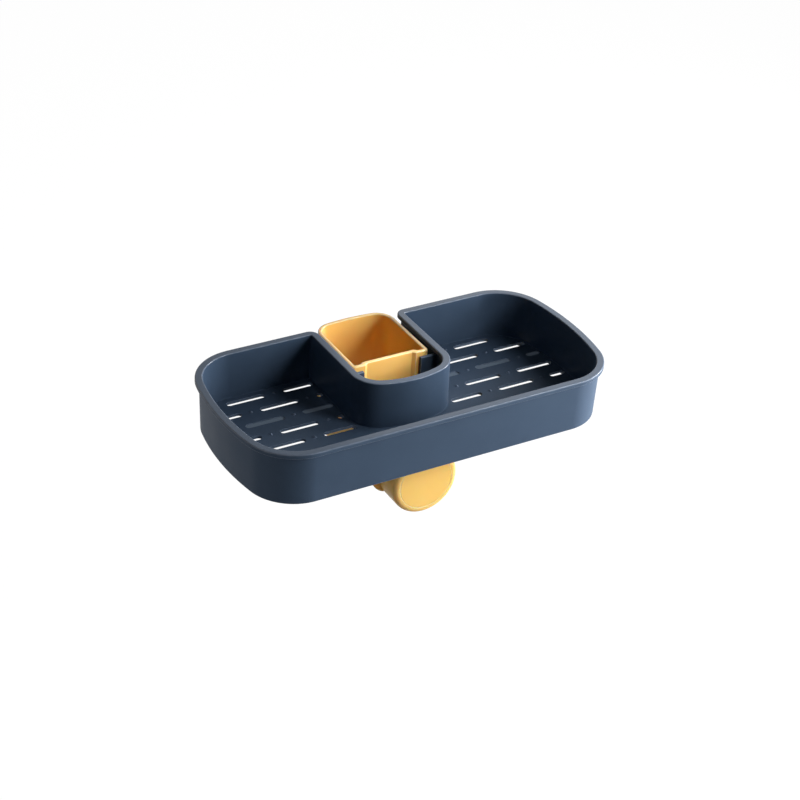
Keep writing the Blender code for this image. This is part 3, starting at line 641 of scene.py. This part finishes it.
# The shell is the section carried round the outline, closed by the floor's two flat sides. A slot's wall runs
# through the floor, with its upper edge a quarter circle, and a blind slot's wall ends on a web
def makeShell(t, p, z, slots):
    rings = [ringAt(trayOutline(t, p, inset), height) for inset, height in traySection(t, z)]
    patches = [gridPatch(np.array(rings), closeColumns=True)]
    top, under = [rings[0]], [rings[-1]]
    half, edge = t["slotWidth"] / 2, t["slotRound"]
    turn = np.linspace(0, quarter, t["edgeSteps"] + 1)
    rounding = [(half + edge * (1 - math.sin(a)), z["floor"] - edge * (1 - math.cos(a))) for a in turn]
    for slot in slots:
        wall = [slotRing(t, slot, radius, height) for radius, height in rounding]
        wall.append(slotRing(t, slot, half, z["web"] if slot[3] else z["under"]))
        patches.append(gridPatch(np.array(wall), closeColumns=True))
        top.append(wall[0])
        if slot[3]:
            patches.append(flatPatch([wall[-1]]))
        else:
            under.append(wall[-1])
    return meshPiece("trayShell", [*patches, flatPatch(top), flatPatch(under)])


# A pip's height falls off with the square of a cosine, from its top to its rim
def makePips(t, z, pips):
    share = np.linspace(t["pipMiddle"], 1, t["pipRings"])
    radii = share * t["pipRadius"]
    heights = z["floor"] - t["pipSink"] + t["pipHeight"] * np.cos(share * quarter) ** 2
    patches = []
    circles = [circle(radius, t["pipSides"]) for radius in radii]
    for place in pips:
        patches += closedStack([ringAt(ring + place, height) for ring, height in zip(circles, heights)])
    return meshPiece("trayPips", patches)


# Two ribs in the notch, and a bar under each closed row, in two parts where the notch divides the row
def makeBars(t, p, z):
    ribOuter = t["notchHalfWidth"] + t["overhang"] + t["wall"] / 2
    ribY, ribZ = (t["ribY"] - t["ribThickness"], t["ribY"]), (z["base"], t["rimZ"] - t["ribTopDrop"])
    bars = [
        sideBlock("trayRib", side, (t["ribFreeEdge"], ribOuter), ribY, ribZ, t["ribRound"]) for side in (-1, 1)
    ]
    outer = t["length"] / 2 - t["overhang"] - t["outerDraft"] - t["wall"]
    reach = t["slotWidth"] / 2 + t["webLedge"]
    webY = p["midY"] + t["rowShift"] + t["rowPitch"] * t["blindRow"]
    frontWebY = webY - 2 * t["rowPitch"] * t["blindRow"]
    webZ = (z["base"] + t["webFoot"], z["web"] - t["webDrop"])
    for side, inner, y in ((-1, ribOuter, webY), (1, ribOuter, webY), (1, -outer, frontWebY)):
        bars.append(sideBlock("trayWeb", side, (inner, outer), (y - reach, y + reach), webZ, t["webRound"]))
    return bars


def makeTray(t):
    places, levels = trayPlaces(t), trayLevels(t)
    slots, pips = slotPlaces(t, places)
    parts = [makeShell(t, places, levels, slots), makePips(t, levels, pips), *makeBars(t, places, levels)]
    body = joinPieces("trayBody", parts)
    # thinWeb marks the webs' closed bottoms, which take the painted light colour and glow
    thin = np.abs(meshArray(body.data.vertices, "co", 3)[:, 2] - levels["web"]) < t["webNear"]
    body.data.attributes.new("thinWeb", "FLOAT", "POINT").data.foreach_set("value", thin.astype(np.float32))
    return body


finishPiece(makeTray(traySizes), "navyPlastic", "tray", "tray", sharp=50)
print("tray made")

# Clamp body: the loop round the pipe and the screw housing in front of it
bodySizes = dict(
    roundSteps=6, faceSteps=6, cornerSteps=18, bowSteps=10, underShares=(0.75, 0.6, 0.45, 0.3), rimSteps=4,
    floorRings=15, floorBunch=1.5, bossSteps=72,
    **inMillimetres(
        halfWidth=32.0, wall=3.0, frontY=-52.2, backY=14.8, topZ=73.4, bottomZ=-17.1, rearCorner=14.5,
        bow=160.0, noseRound=2.4, recessHalfWidth=21.4, recessDepth=2.1, recessSlope=2.4, recessRound=0.7,
        sharpest=0.8, lowerCorner=14.7, backRise=19.0, riseLength=51.4, topRound=0.9, bottomRound=0.5,
        housingFrontY=-88.2, housingTopZ=32.7, housingFrontRound=1.6, housingTopRound=0.6, flatFrom=6.0,
        bossRadius=10.5, boreRadius=4.3, boreFront=4.0, boreBack=8.0, nutY=-70.2, pocketHalfWidth=6.8,
        pocketHalfLength=3.55, pocketTop=14.0, bossWeb=2.4, webOverlap=1.0, webRound=0.2,
        drainX=9.0, drainWidth=5.0, drainLength=14.0, drainReach=6.0, drainRound=0.8,
        ribFreeEdge=24.0, lugBackY=-56.0, lugThickness=2.6, lugHeight=12.0, lugRoot=2.0, lugPlay=0.4,
        cheekOverlap=1.2, seatDepth=6.0, railDepth=3.0, railHeight=4.0, railZ=7.0, railEndY=0.6, smallRound=0.4,
    ),
)


# The lower side of the body at (x, y): flat in the middle, quarter circles at the sides, and rising to the back
def undersideZ(b, x, y, inset=0.0):
    radius = b["lowerCorner"]
    across = np.clip(np.abs(x) - (b["halfWidth"] - radius), 0.0, radius - inset)
    sides = b["bottomZ"] + radius - np.sqrt(np.maximum((radius - inset) ** 2 - across**2, 0.0))
    back = b["bottomZ"] + b["backRise"] / b["riseLength"] * (y - (b["backY"] - b["riseLength"]))
    return np.maximum(sides, back)


# The loop from above, drawn in by a distance: recess, ear, long side, rear corner and bow
def loopOutline(b, inset):
    front, step, side = b["frontY"] + inset, b["recessHalfWidth"] + inset, b["halfWidth"] - inset
    nose = max(b["noseRound"] - inset, b["sharpest"])
    recessY = front + b["recessDepth"]
    rearX, bowY = b["halfWidth"] - b["rearCorner"], b["backY"] - b["bow"]
    rearY = bowY + circleReach(b["bow"] - b["rearCorner"], rearX)
    rearTurn = math.atan2(rearY - bowY, rearX)
    corners = [(0.0, recessY), (step - b["recessSlope"], recessY), (step, front), (side, front), (side, rearY)]
    return mirroredRing(np.concatenate([
        roundedLine(corners, [b["recessRound"], b["recessRound"], nose], b["faceSteps"]),
        arcPoints((rearX, rearY), b["rearCorner"] - inset, 0.0, rearTurn, b["cornerSteps"])[1:],
        arcPoints((0.0, bowY), b["bow"] - inset, rearTurn, quarter, b["bowSteps"])[1:],
    ]))


# The loop's section is a closed ring of (inset, rise, whether from the top), carried round the outline: up the
# outside, over the rounded top, down the inside and back underneath, where it follows the lower side
def makeLoop(b):
    counts = stepCounts(loopOutline(b, 0.0))
    turn = np.linspace(0, quarter, b["roundSteps"] + 1)
    wall, top, low = b["wall"], b["topRound"], b["bottomRound"]
    section = [(low * (1 - math.sin(a)), low * (1 - math.cos(a)), False) for a in turn[::2]]
    section += [(top * (1 - math.cos(a)), -top * (1 - math.sin(a)), True) for a in turn]
    section += [(wall - top * (1 - math.sin(a)), -top * (1 - math.cos(a)), True) for a in turn]
    section += [(wall - low * (1 - math.cos(a)), low * (1 - math.sin(a)), False) for a in turn[::2]]
    section += [(wall * share, 0.0, False) for share in b["underShares"]]
    rows = []
    for inset, rise, fromTop in section:
        line = splitRing(loopOutline(b, inset), counts)
        rows.append(ringAt(line, (b["topZ"] if fromTop else undersideZ(b, line[:, 0], line[:, 1])) + rise))
    loop = meshPiece("clampLoop", [gridPatch(np.array(rows), closeRows=True, closeColumns=True)])
    return cutWith(loop, [
        yCylinder("bore", b["boreRadius"], b["frontY"] - b["boreFront"], b["frontY"] + b["boreBack"])
    ])


# The open housing from above, drawn in by a distance
def housingOutline(b, inset):
    corner = max(b["housingFrontRound"] - inset, b["sharpest"])
    side, low = b["halfWidth"] - inset, b["housingFrontY"] + inset
    high = b["frontY"] + b["wall"] - join - inset
    corners = [(-side, low), (side, low), (side, high), (-side, high)]
    return roundedRing(corners, [corner, corner, b["sharpest"], b["sharpest"]])


# A ring of the housing's floor: the outline moved a share of its way to a flat middle, at the underside's height
def housingFloorRing(b, line, share, inset):
    middle, front = b["halfWidth"] - b["lowerCorner"], b["housingFrontY"]
    back = b["frontY"] + b["wall"] - join
    middleY = np.clip(line[:, 1], front + b["flatFrom"], back - b["flatFrom"])
    target = np.column_stack([np.clip(line[:, 0], -middle, middle), middleY])
    line = line + (target - line) * share
    return ringAt(line, undersideZ(b, line[:, 0], front, inset))


# The housing is a stack of rings: from the middle of its lower side outwards and up, over the rim's two quarter
# circles, and down the inside to the middle again
def makeHousing(b):
    counts = stepCounts(housingOutline(b, 0.0))
    wall, rim, topZ = b["wall"], b["housingTopRound"], b["housingTopZ"]
    turn = np.linspace(0, quarter, b["rimSteps"] + 1)
    shares = np.linspace(0, 1, b["floorRings"]) ** b["floorBunch"]

    def ring(inset):
        return splitRing(housingOutline(b, inset), counts)

    rows = [housingFloorRing(b, ring(0.0), share, 0.0) for share in shares[::-1]]
    rows += [ringAt(ring(rim * (1 - math.cos(a))), topZ - rim * (1 - math.sin(a))) for a in turn]
    rows += [ringAt(ring(wall - rim * (1 - math.sin(a))), topZ - rim * (1 - math.cos(a))) for a in turn]
    rows += [housingFloorRing(b, ring(wall), share, wall) for share in shares]
    bore = yCylinder("bore", b["boreRadius"], b["housingFrontY"] - overcut, b["frontY"] + b["boreBack"])
    drainX = (b["drainX"], b["drainX"] + b["drainWidth"])
    drainZ = (b["bottomZ"] - overcut, b["bottomZ"] + b["drainReach"])
    drainY = (b["nutY"] - b["drainLength"] / 2, b["nutY"] + b["drainLength"] / 2)
    drains = [sideBlock("drain", side, drainX, drainY, drainZ, b["drainRound"]) for side in (-1, 1)]
    return cutWith(meshPiece("clampHousing", closedStack(rows)), [bore, *drains])


# The nut's boss: a cylinder with a bore and a pocket for the nut, open above, held to the floor by a thin wall
def makeBoss(b):
    low, high = b["housingFrontY"] + join, b["frontY"] + join
    side, top = b["pocketHalfWidth"], b["pocketTop"]
    point = side / math.cos(math.radians(30))
    outline = np.array([(0.0, -point), (side, -point / 2), (side, top), (-side, top), (-side, -point / 2)])
    pocket = yPrism("pocket", outline, b["nutY"] - b["pocketHalfLength"], b["nutY"] + b["pocketHalfLength"])
    bore = yCylinder("bore", b["boreRadius"], low - overcut, high + overcut)
    boss = cutWith(yCylinder("boss", b["bossRadius"], low, high, b["bossSteps"]), [pocket, bore])
    half, webTop = b["bossWeb"] / 2, b["webOverlap"] - b["bossRadius"]
    web = roundedBlock("web", (-half, low, b["bottomZ"] + join), (half, high - join, webTop), b["webRound"])
    return [boss, web]


# On each side: a seat and a lug for the tray's rib, a cheek beside it, and the jaw's rail inside the loop
def makeGuides(b):
    front, behind = b["lugBackY"] - b["lugThickness"], b["frontY"] + join
    seatTop, lugTop = b["housingTopZ"] - join, b["housingTopZ"] + b["lugHeight"]
    rootZ = seatTop - b["lugRoot"]
    inner, outer = b["ribFreeEdge"] - b["lugPlay"] - b["lugThickness"], b["halfWidth"] - join
    wallX, cheekY = b["halfWidth"] - b["wall"], b["lugBackY"] - b["cheekOverlap"]
    railY = (b["frontY"] + b["wall"] - join, b["railEndY"])
    railZ = (b["railZ"] - b["railHeight"] / 2, b["railZ"] + b["railHeight"] / 2)
    blocks = [
        ("seat", (inner, outer), (front, behind), (seatTop - b["seatDepth"], seatTop)),
        ("lug", (inner, outer), (front, b["lugBackY"]), (rootZ, lugTop)),
        ("cheek", (inner, inner + b["lugThickness"]), (cheekY, behind), (rootZ, lugTop)),
        ("rail", (wallX + join, wallX - b["railDepth"]), railY, railZ),
    ]
    return [sideBlock(name, side, x, y, z, b["smallRound"]) for side in (-1, 1) for name, x, y, z in blocks]


clampParts = [makeLoop(bodySizes), makeHousing(bodySizes), *makeBoss(bodySizes), *makeGuides(bodySizes)]
clampBody = joinPieces("clampBody", clampParts)
finishPiece(clampBody, "amberPlastic", "clamp", "clamp_body", sharp=40)
print("clamp body made")

# Knob and cap
knobSizes = dict(
    ribs=6, shellSteps=160, roundSteps=8, capSteps=128,
    **inMillimetres(
        radius=26.8, frontY=-112.0, backY=-89.2, edgeRound=4.0, wall=2.6, hubRadius=10.5, seatRadius=21.7,
        seatDepth=2.1, webY=-107.3, boreRadius=4.3, socketRadius=7.9, socketY=-104.0, ribThickness=2.0,
        ribSetback=2.0, smallRound=0.35, capRadius=21.64, capThickness=1.8, capRound=0.22, capMiddle=0.05,
    ),
)


# A piece turned about the Y axis: x and z mixed by the angle's cosine and sine
def turnAboutY(piece, angle):
    x, y, z = meshArray(piece.data.vertices, "co", 3).T
    cos, sin = math.cos(angle), math.sin(angle)
    turned = np.stack([x * cos - z * sin, y, x * sin + z * cos], axis=1)
    piece.data.vertices.foreach_set("co", turned.ravel())
    piece.data.update()
    return piece


# The knob's section is turned about Y: seat for the cap, rim, skirt, hub and the socket for the screw's head
def makeKnob(k):
    small, skirt, seatY = k["smallRound"], k["radius"] - k["wall"], k["frontY"] + k["seatDepth"]
    section = [
        (k["seatRadius"], k["frontY"], small), (k["radius"], k["frontY"], k["edgeRound"]),
        (k["radius"], k["backY"], small * 2), (skirt, k["backY"], small * 2), (skirt, k["webY"], small * 2),
        (k["hubRadius"], k["webY"], small * 2), (k["hubRadius"], k["backY"], small),
        (k["boreRadius"], k["backY"], small), (k["boreRadius"], k["socketY"], small / 2),
        (k["socketRadius"], k["socketY"], small / 2), (k["socketRadius"], seatY, small),
        (k["seatRadius"], seatY, small / 2),
    ]
    profile = roundedRing([row[:2] for row in section], [row[2] for row in section], k["roundSteps"])
    parts = [turnedPiece("knobShell", profile, k["shellSteps"])]
    low = (k["hubRadius"] - join, k["webY"] - join, -k["ribThickness"] / 2)
    high = (skirt + join, k["backY"] - k["ribSetback"], k["ribThickness"] / 2)
    for number in range(k["ribs"]):
        parts.append(turnAboutY(roundedBlock("rib", low, high, small), 2 * math.pi / k["ribs"] * number))
    return joinPieces("knobBody", parts)


# The cap's section is turned about Y: a thin slab with a rounded rim in front and a sharper one behind
def makeCap(k):
    middle, front, back = k["capMiddle"], k["frontY"], k["frontY"] + k["capThickness"]
    corners = [(middle, back), (k["capRadius"], back), (k["capRadius"], front), (middle, front)]
    return turnedSolid("knobCap", roundedLine(corners, [k["capRound"] / 2, k["capRound"]]), k["capSteps"])


finishPiece(makeKnob(knobSizes), "amberPlastic", "knob_and_screw", "knob")
finishPiece(makeCap(knobSizes), "amberPlastic", "knob_and_screw", "knob_cap")
print("knob and cap made")

# Jaw: a plate that slides on the body's rails, cored out behind, with a boss for the screw's tip
jawSizes = dict(
    plateSteps=4, bossSteps=72, coreSegments=2, coreAngle=math.radians(50),
    coresX=((11.0 * mm, 16.9 * mm), (18.6 * mm, 24.0 * mm)),
    coresZ=((-7.6 * mm, 3.2 * mm), (10.8 * mm, 21.6 * mm)),
    **inMillimetres(
        half=28.6, low=-10.0, high=24.0, backY=-18.8, faceY=-11.8, corner=4.0, edge=0.35, grooveRound=0.6,
        bossRadius=9.0, bossY=-23.8, bossRoot=0.4, bossEdge=0.7, boreLead=0.5, hiddenEdge=0.05, bore=3.3,
        recessRadius=6.6, recessY=-15.0, grooveDepth=3.0, grooveZ=7.0, grooveHalf=2.4,
        coreY=-14.4, coreRound=0.7, coreEdge=0.2,
    ),
)


# The plate's outline has a groove in each side, given length along Y, and the boss is a section turned about Y
def makeJaw(j):
    half, root = j["half"], j["half"] - j["grooveDepth"]
    under, over = j["grooveZ"] - j["grooveHalf"], j["grooveZ"] + j["grooveHalf"]
    right = [(half, j["low"]), (half, under), (root, under), (root, over), (half, over), (half, j["high"])]
    left = [(-x, z) for x, z in reversed(right)]
    radii = [j["corner"], *[j["grooveRound"]] * 4, j["corner"]]
    outline = roundedRing(right + left, radii * 2, j["plateSteps"])
    plate = softPrism("jawPlate", outline, j["backY"], j["faceY"], j["edge"], alongY=True)
    cutters = [
        yCylinder("bore", j["bore"], j["backY"] - overcut, j["faceY"] + overcut),
        yCylinder("recess", j["recessRadius"], j["recessY"], j["faceY"] + overcut),
    ]
    coreY = (j["backY"] - overcut, j["coreY"])
    for side in (-1, 1):
        for x in j["coresX"]:
            cutters += [sideBlock("core", side, x, coreY, z, j["coreRound"], alongY=True) for z in j["coresZ"]]
    cutWith(plate, cutters)
    addStep(plate, "edges", "BEVEL", width=j["coreEdge"], segments=j["coreSegments"], limit_method="ANGLE",
            angle_limit=j["coreAngle"], use_clamp_overlap=True)
    applyModifiers(plate)
    bore, wide, front, back = j["bore"], j["bossRadius"], j["bossY"], j["backY"] + j["bossRoot"]
    bossRadii = [j["boreLead"], j["bossEdge"], j["hiddenEdge"], j["hiddenEdge"]]
    section = roundedRing([(bore, front), (wide, front), (wide, back), (bore, back)], bossRadii)
    return joinPieces("slidingJaw", [plate, turnedPiece("jawBoss", section, j["bossSteps"])])


finishPiece(makeJaw(jawSizes), "amberPlastic", "jaw_slider", "jaw", sharp=40)

# Pads: rubber facings with upright grooves, flat behind on the jaw and bowed behind on the loop's back wall
padSizes = dict(
    grooves=7, bowSteps=16, roundSteps=3,
    **inMillimetres(
        half=20.0, grooveHalf=0.8, depth=1.0, pitch=5.0, round=0.35, edge=0.3, faceY=9.0, height=26.0,
        jawLow=-8.0, jawBackY=-11.5, backLow=2.0, bow=156.7, bowY=-145.2,
    ),
)


# The pad's outline from above, given height: a chamfered face with its grooves, closed by the line behind it
def makePad(p, name, faceY, inward, low, behind):
    half, groove, chamfer = p["half"], p["grooveHalf"], p["depth"] / 2
    floorY, chamferY = faceY + inward * p["depth"], faceY + inward * chamfer
    face = [(-half, chamferY), (-half + chamfer, faceY)]
    for x in p["pitch"] * (np.arange(p["grooves"]) - (p["grooves"] - 1) / 2):
        face += [(x - groove, faceY), (x - groove, floorY), (x + groove, floorY), (x + groove, faceY)]
    face += [(half - chamfer, faceY), (half, chamferY)]
    radii = [p["round"]] * len(face) + [0.0] * len(behind)
    outline = roundedRing(face + behind, radii, p["roundSteps"])
    return softPrism(name, outline, low, low + p["height"], p["edge"])


def makeJawPad(p):
    behind = [(p["half"], p["jawBackY"]), (-p["half"], p["jawBackY"])]
    return makePad(p, "jawPad", -p["faceY"], -1, p["jawLow"], behind)


def makeBackPad(p):
    reach = math.acos(p["half"] / p["bow"])
    behind = arcPoints((0.0, p["bowY"]), p["bow"], reach, math.pi - reach, p["bowSteps"])
    return makePad(p, "backPad", p["faceY"], 1, p["backLow"], [tuple(point) for point in behind])


finishPiece(makeJawPad(padSizes), "padRubber", "jaw_slider", "jaw_pad", sharp=50)
finishPiece(makeBackPad(padSizes), "padRubber", "clamp", "back_pad", sharp=50)
print("jaw and pads made")

# Screw, nut and clip; widths of the hexagons' faces and cones are shares of the width across flats
screwSizes = dict(
    steps=60, threadSteps=8, waveGain=1.15, waveCut=0.08, faceInner=0.3, faceOuter=0.46, nutFace=0.42,
    shoulder=0.47, collar=0.465, coneStart=0.475, coneDepth=0.075, coneSlope=1.73, coneRings=7,
    clipSteps=56, clipInnerSteps=72, lugAngle=0.28, lugSpread=0.36,
    **inMillimetres(
        headFront=-109.6, headBack=-104.3, flats=13.0, major=3.95, minor=3.32, pitch=1.25, middle=0.02,
        threadFrom=-99.0, threadTo=-25.2, fade=1.6, shoulderY=-24.1, tipRadius=3.0, grooveRadius=2.4,
        grooveFrom=-14.85, grooveTo=-13.4, tipEnd=-12.1, chamfer=0.5, coneLift=0.1, sharpStep=0.01,
        collarDepth=0.35, collarRim=0.33, filletWide=0.35, filletNear=0.08, filletLow=0.12, filletHigh=0.4,
        threadLead=0.2, rootLift=0.2, rootBack=0.4, tipLead=0.3,
        nutY=-70.2, nutHalf=3.25, nutClear=0.12, nutLead=0.5, clipRadius=5.6, clipLow=-14.7, clipHigh=-13.7,
        clipMouth=1.8, clipInner=3.5, clipLug=0.8, clipEdge=0.12,
    ),
)
around = np.linspace(0, 2 * math.pi, screwSizes["steps"], endpoint=False)


# Half the width across flats over the cosine of the angle from the middle of the nearest flat
def hexReach(flats):
    return flats / 2 / np.cos((around + math.pi / 6) % (math.pi / 3) - math.pi / 6)


# The thread's radius at a height: a rounded triangle wave of the height in pitches plus the angle in turns
def threadRadius(c, y, extra=0.0):
    phase = (y / c["pitch"] + around / (2 * math.pi)) % 1.0
    wave = np.clip(c["waveGain"] * (1 - np.abs(2 * phase - 1)) - c["waveCut"], 0, 1)
    return c["minor"] + (c["major"] - c["minor"]) * wave + extra


# The head's sides are the hexagon, held within a cone at its front corners and at its back ones
def hexRows(c, front, back, both):
    flats, depth = c["flats"], c["flats"] * c["coneDepth"]

    def held(step, coned):
        cone = flats * c["coneStart"] + step * depth * c["coneSlope"] + c["coneLift"]
        return np.minimum(hexReach(flats), cone if coned else flats)

    rows = [(held(step, True), front + step * depth) for step in np.linspace(0, 1, c["coneRings"])]
    return rows + [(held(step, both), back - step * depth) for step in np.linspace(1, 0, c["coneRings"])]


# Rows of (radius, y) turned about Y: hexagonal head, plain neck, helical thread, and the tip with its groove
def makeScrew(c):
    flats, major, headBack, step = c["flats"], c["major"], c["headBack"], c["sharpStep"]
    tip, cut, shoulderY = c["tipRadius"], c["chamfer"], c["shoulderY"]
    face = (c["middle"], flats * c["faceInner"], flats * c["faceOuter"])
    rows = [(radius, c["headFront"]) for radius in face]
    rows += hexRows(c, c["headFront"], headBack - c["collarDepth"], False)
    rows += [
        (flats * c["shoulder"], headBack - c["collarRim"]), (flats * c["collar"], headBack),
        (major + c["filletWide"], headBack), (major + c["filletNear"], headBack + c["filletLow"]),
        (major, headBack + c["filletHigh"]), (major, c["threadFrom"] - c["threadLead"]),
    ]
    for y in np.arange(c["threadFrom"], c["threadTo"], c["pitch"] / c["threadSteps"]):
        share = np.clip((y - c["threadFrom"]) / c["fade"], 0, 1)
        rows.append((major + (threadRadius(c, y) - major) * share, y))
    rows += [
        (c["minor"], c["threadTo"]), (c["minor"] + c["rootLift"], shoulderY - c["rootBack"]),
        (tip + c["tipLead"], shoulderY),
        (tip, shoulderY + step), (tip, c["grooveFrom"]), (c["grooveRadius"], c["grooveFrom"] + step),
        (c["grooveRadius"], c["grooveTo"]), (tip, c["grooveTo"] + step), (tip, c["tipEnd"] - cut),
        (tip - cut, c["tipEnd"]), (tip / 2, c["tipEnd"]), (c["middle"], c["tipEnd"]),
    ]
    return turnedSolid("clampScrew", rows, c["steps"])


# The nut's rows run over its front face, hexagon and back face, and return through the threaded bore
def makeNut(c):
    front, back, flats = c["nutY"] - c["nutHalf"], c["nutY"] + c["nutHalf"], c["flats"]
    faces = [c["major"] + c["nutLead"], flats * c["nutFace"], flats * c["shoulder"]]
    rows = [(radius, front) for radius in faces] + hexRows(c, front, back, True)
    rows += [(radius, back) for radius in faces[::-1]]
    for y in np.arange(back - c["nutLead"], front + c["nutLead"], -c["pitch"] / c["threadSteps"]):
        rows.append((threadRadius(c, y, c["nutClear"]), y))
    return turnedPiece("trappedNut", rows, c["steps"])


# The clip's inner edge is a circle with three lugs, each a squared cosine of the angle from its middle
def makeClip(c):
    mouth = math.asin(c["clipMouth"] / c["clipRadius"])
    start = mouth - quarter
    outer = arcPoints((0.0, 0.0), c["clipRadius"], start, 2 * math.pi + start - 2 * mouth, c["clipSteps"])
    edge = math.asin(c["clipMouth"] / c["clipInner"])
    sweep = np.linspace(3 * quarter - edge, edge - quarter, c["clipInnerSteps"])
    lug = c["lugAngle"]
    middles = np.array([quarter, edge - quarter + lug, 3 * quarter - edge - lug])
    near = np.clip(1 - np.abs(sweep[:, None] - middles) / c["lugSpread"], 0, 1)
    inner = c["clipInner"] - c["clipLug"] * (np.sin(near * quarter) ** 2).max(1)
    line = np.concatenate([outer, np.stack([inner * np.cos(sweep), inner * np.sin(sweep)], axis=1)])
    return softPrism("snapClip", line, c["clipLow"], c["clipHigh"], c["clipEdge"], alongY=True)


finishPiece(makeScrew(screwSizes), "zincSteel", "knob_and_screw", "clamp_screw", sharp=35)
finishPiece(makeNut(screwSizes), "zincSteel", "clamp", "screw_nut", sharp=35)
finishPiece(makeClip(screwSizes), "zincSteel", "knob_and_screw", "screw_clip", sharp=35)
print("screw, nut and clip made")

# Camera: the place, turn and lens that the photograph was taken with
cameraSizes = dict(
    azimuth=-31.773, elevation=32.277, roll=3.714, distance=1391.6 * mm, lens=85.05, sensor=36.0, nearest=0.01,
    target=(-0.816 * mm, -69.35 * mm, 47.44 * mm),
)


def makeCamera(c):
    a, e, r = (math.radians(c[key]) for key in ("azimuth", "elevation", "roll"))
    back = np.array((math.sin(a) * math.cos(e), -math.cos(a) * math.cos(e), math.sin(e)))
    right = np.array((math.cos(a), math.sin(a), 0.0))
    up = np.cross(right, -back)
    across = math.cos(r) * right + math.sin(r) * up
    above = -math.sin(r) * right + math.cos(r) * up
    place = np.array(c["target"]) + back * c["distance"]
    camera = bpy.data.objects.new("photoCamera", bpy.data.cameras.new("photoCamera"))
    rows = np.vstack([np.column_stack([across, above, back, place]), (0, 0, 0, 1)])
    camera.matrix_world = Matrix(rows.tolist())
    camera.data.lens = c["lens"]
    camera.data.sensor_width = c["sensor"]
    camera.data.clip_start = c["nearest"]
    scene.collection.objects.link(camera)
    return camera


scene.camera = makeCamera(cameraSizes)

# Lights: soft round lamps as (name, place, size, power), most of them on the right and three of them low, and
# a narrow spot for the recess in the notch; the pale world is plain white where it is seen and weak elsewhere
lampRows = [
    ("key", (0.46, -0.66, 0.48), 0.3, 4.1),
    ("near", (0.42, -0.36, 0.22), 0.25, 0.5),
    ("side", (0.95, -0.25, 0.35), 0.5, 13.0),
    ("low", (0.6, -0.35, -0.06), 0.4, 4.2),
    ("lowFront", (0.55, -0.65, -0.06), 0.35, 1.7),
    ("lowLeft", (-0.7, -0.3, -0.05), 0.4, 0.8),
    ("back", (0.75, 0.75, 0.7), 0.6, 1.3),
    ("high", (0.75, -0.1, 0.85), 0.5, 0.9),
]
lampAim = (0.0, -0.06, 0.03)
notchLight = dict(
    place=(0.06, -0.42, 0.72), aim=(0.002, -0.05, 0.066), cone=math.radians(6.4), power=16.0, radius=0.02
)
worldLight = dict(seen=1.0, soft=0.02)


def placeLamp(name, kind, place, target, **settings):
    lamp = bpy.data.objects.new(name, bpy.data.lights.new(name, kind))
    for key, value in settings.items():
        setattr(lamp.data, key, value)
    lamp.location = place
    lamp.rotation_euler = (Vector(place) - Vector(target)).to_track_quat("Z", "Y").to_euler()
    scene.collection.objects.link(lamp)
    return lamp


for name, place, size, power in lampRows:
    placeLamp(name, "AREA", place, lampAim, shape="DISK", size=size, energy=power).visible_camera = False
placeLamp(
    "notch", "SPOT", notchLight["place"], notchLight["aim"], energy=notchLight["power"], spot_blend=1.0,
    spot_size=notchLight["cone"], shadow_soft_size=notchLight["radius"],
)


# One for a ray that a camera, a mirror or a glass sends out, and zero for the rest
def seenRay(tree):
    path = tree.nodes.new("ShaderNodeLightPath")
    seen = mathNode(tree, "ADD", path.outputs["Is Camera Ray"], path.outputs["Is Glossy Ray"])
    return mathNode(tree, "ADD", seen, path.outputs["Is Transmission Ray"], clamp=True)


# White, whose strength goes from soft to seen with the seen rays
def makeWorld(w):
    world = bpy.data.worlds.new("paleWorld")
    scene.world = world
    world.use_nodes = True
    tree = world.node_tree
    background = tree.nodes["Background"]
    background.inputs["Color"].default_value = (1, 1, 1, 1)
    strength = rangeNode(tree, seenRay(tree), 0.0, 1.0, w["soft"], w["seen"])
    tree.links.new(strength, background.inputs["Strength"])


makeWorld(worldLight)

floorSizes = dict(level=-150.0 * mm, reach=6.0, shadow=0.3, paper=0.2, glow=1.4)


# Paper that is dull for most rays, mixed with its own glow for the seen ones, and clear from below
def makeFloor(f):
    low, high, z = -f["reach"] / 2, f["reach"] / 2, f["level"]
    mesh = bpy.data.meshes.new("paleFloor")
    mesh.from_pydata([(low, low, z), (high, low, z), (high, high, z), (low, high, z)], [], [(0, 1, 2, 3)])
    floor = bpy.data.objects.new("paleFloor", mesh)
    scene.collection.objects.link(floor)
    made = bpy.data.materials.new("palePaper")
    made.use_nodes = True
    tree = made.node_tree
    tree.nodes.remove(tree.nodes["Principled BSDF"])
    output = tree.nodes["Material Output"]
    diffuse = addNode(tree, "ShaderNodeBsdfDiffuse", Color=(f["paper"], f["paper"], f["paper"], 1))
    glow = addNode(tree, "ShaderNodeEmission", Color=(1, 1, 1, 1), Strength=f["glow"])
    clear = addNode(tree, "ShaderNodeBsdfTransparent")
    share = rangeNode(tree, seenRay(tree), 0.0, 1.0, 0.0, 1 - f["shadow"])
    paper = addNode(tree, "ShaderNodeMixShader", i0=share, i1=diffuse.outputs[0], i2=glow.outputs[0])
    facing = tree.nodes.new("ShaderNodeNewGeometry").outputs["Backfacing"]
    both = addNode(tree, "ShaderNodeMixShader", i0=facing, i1=paper.outputs[0], i2=clear.outputs[0])
    tree.links.new(both.outputs[0], output.inputs["Surface"])
    mesh.materials.append(made)


makeFloor(floorSizes)
scene.view_settings.view_transform = "Standard"
print("camera, lights and floor made")
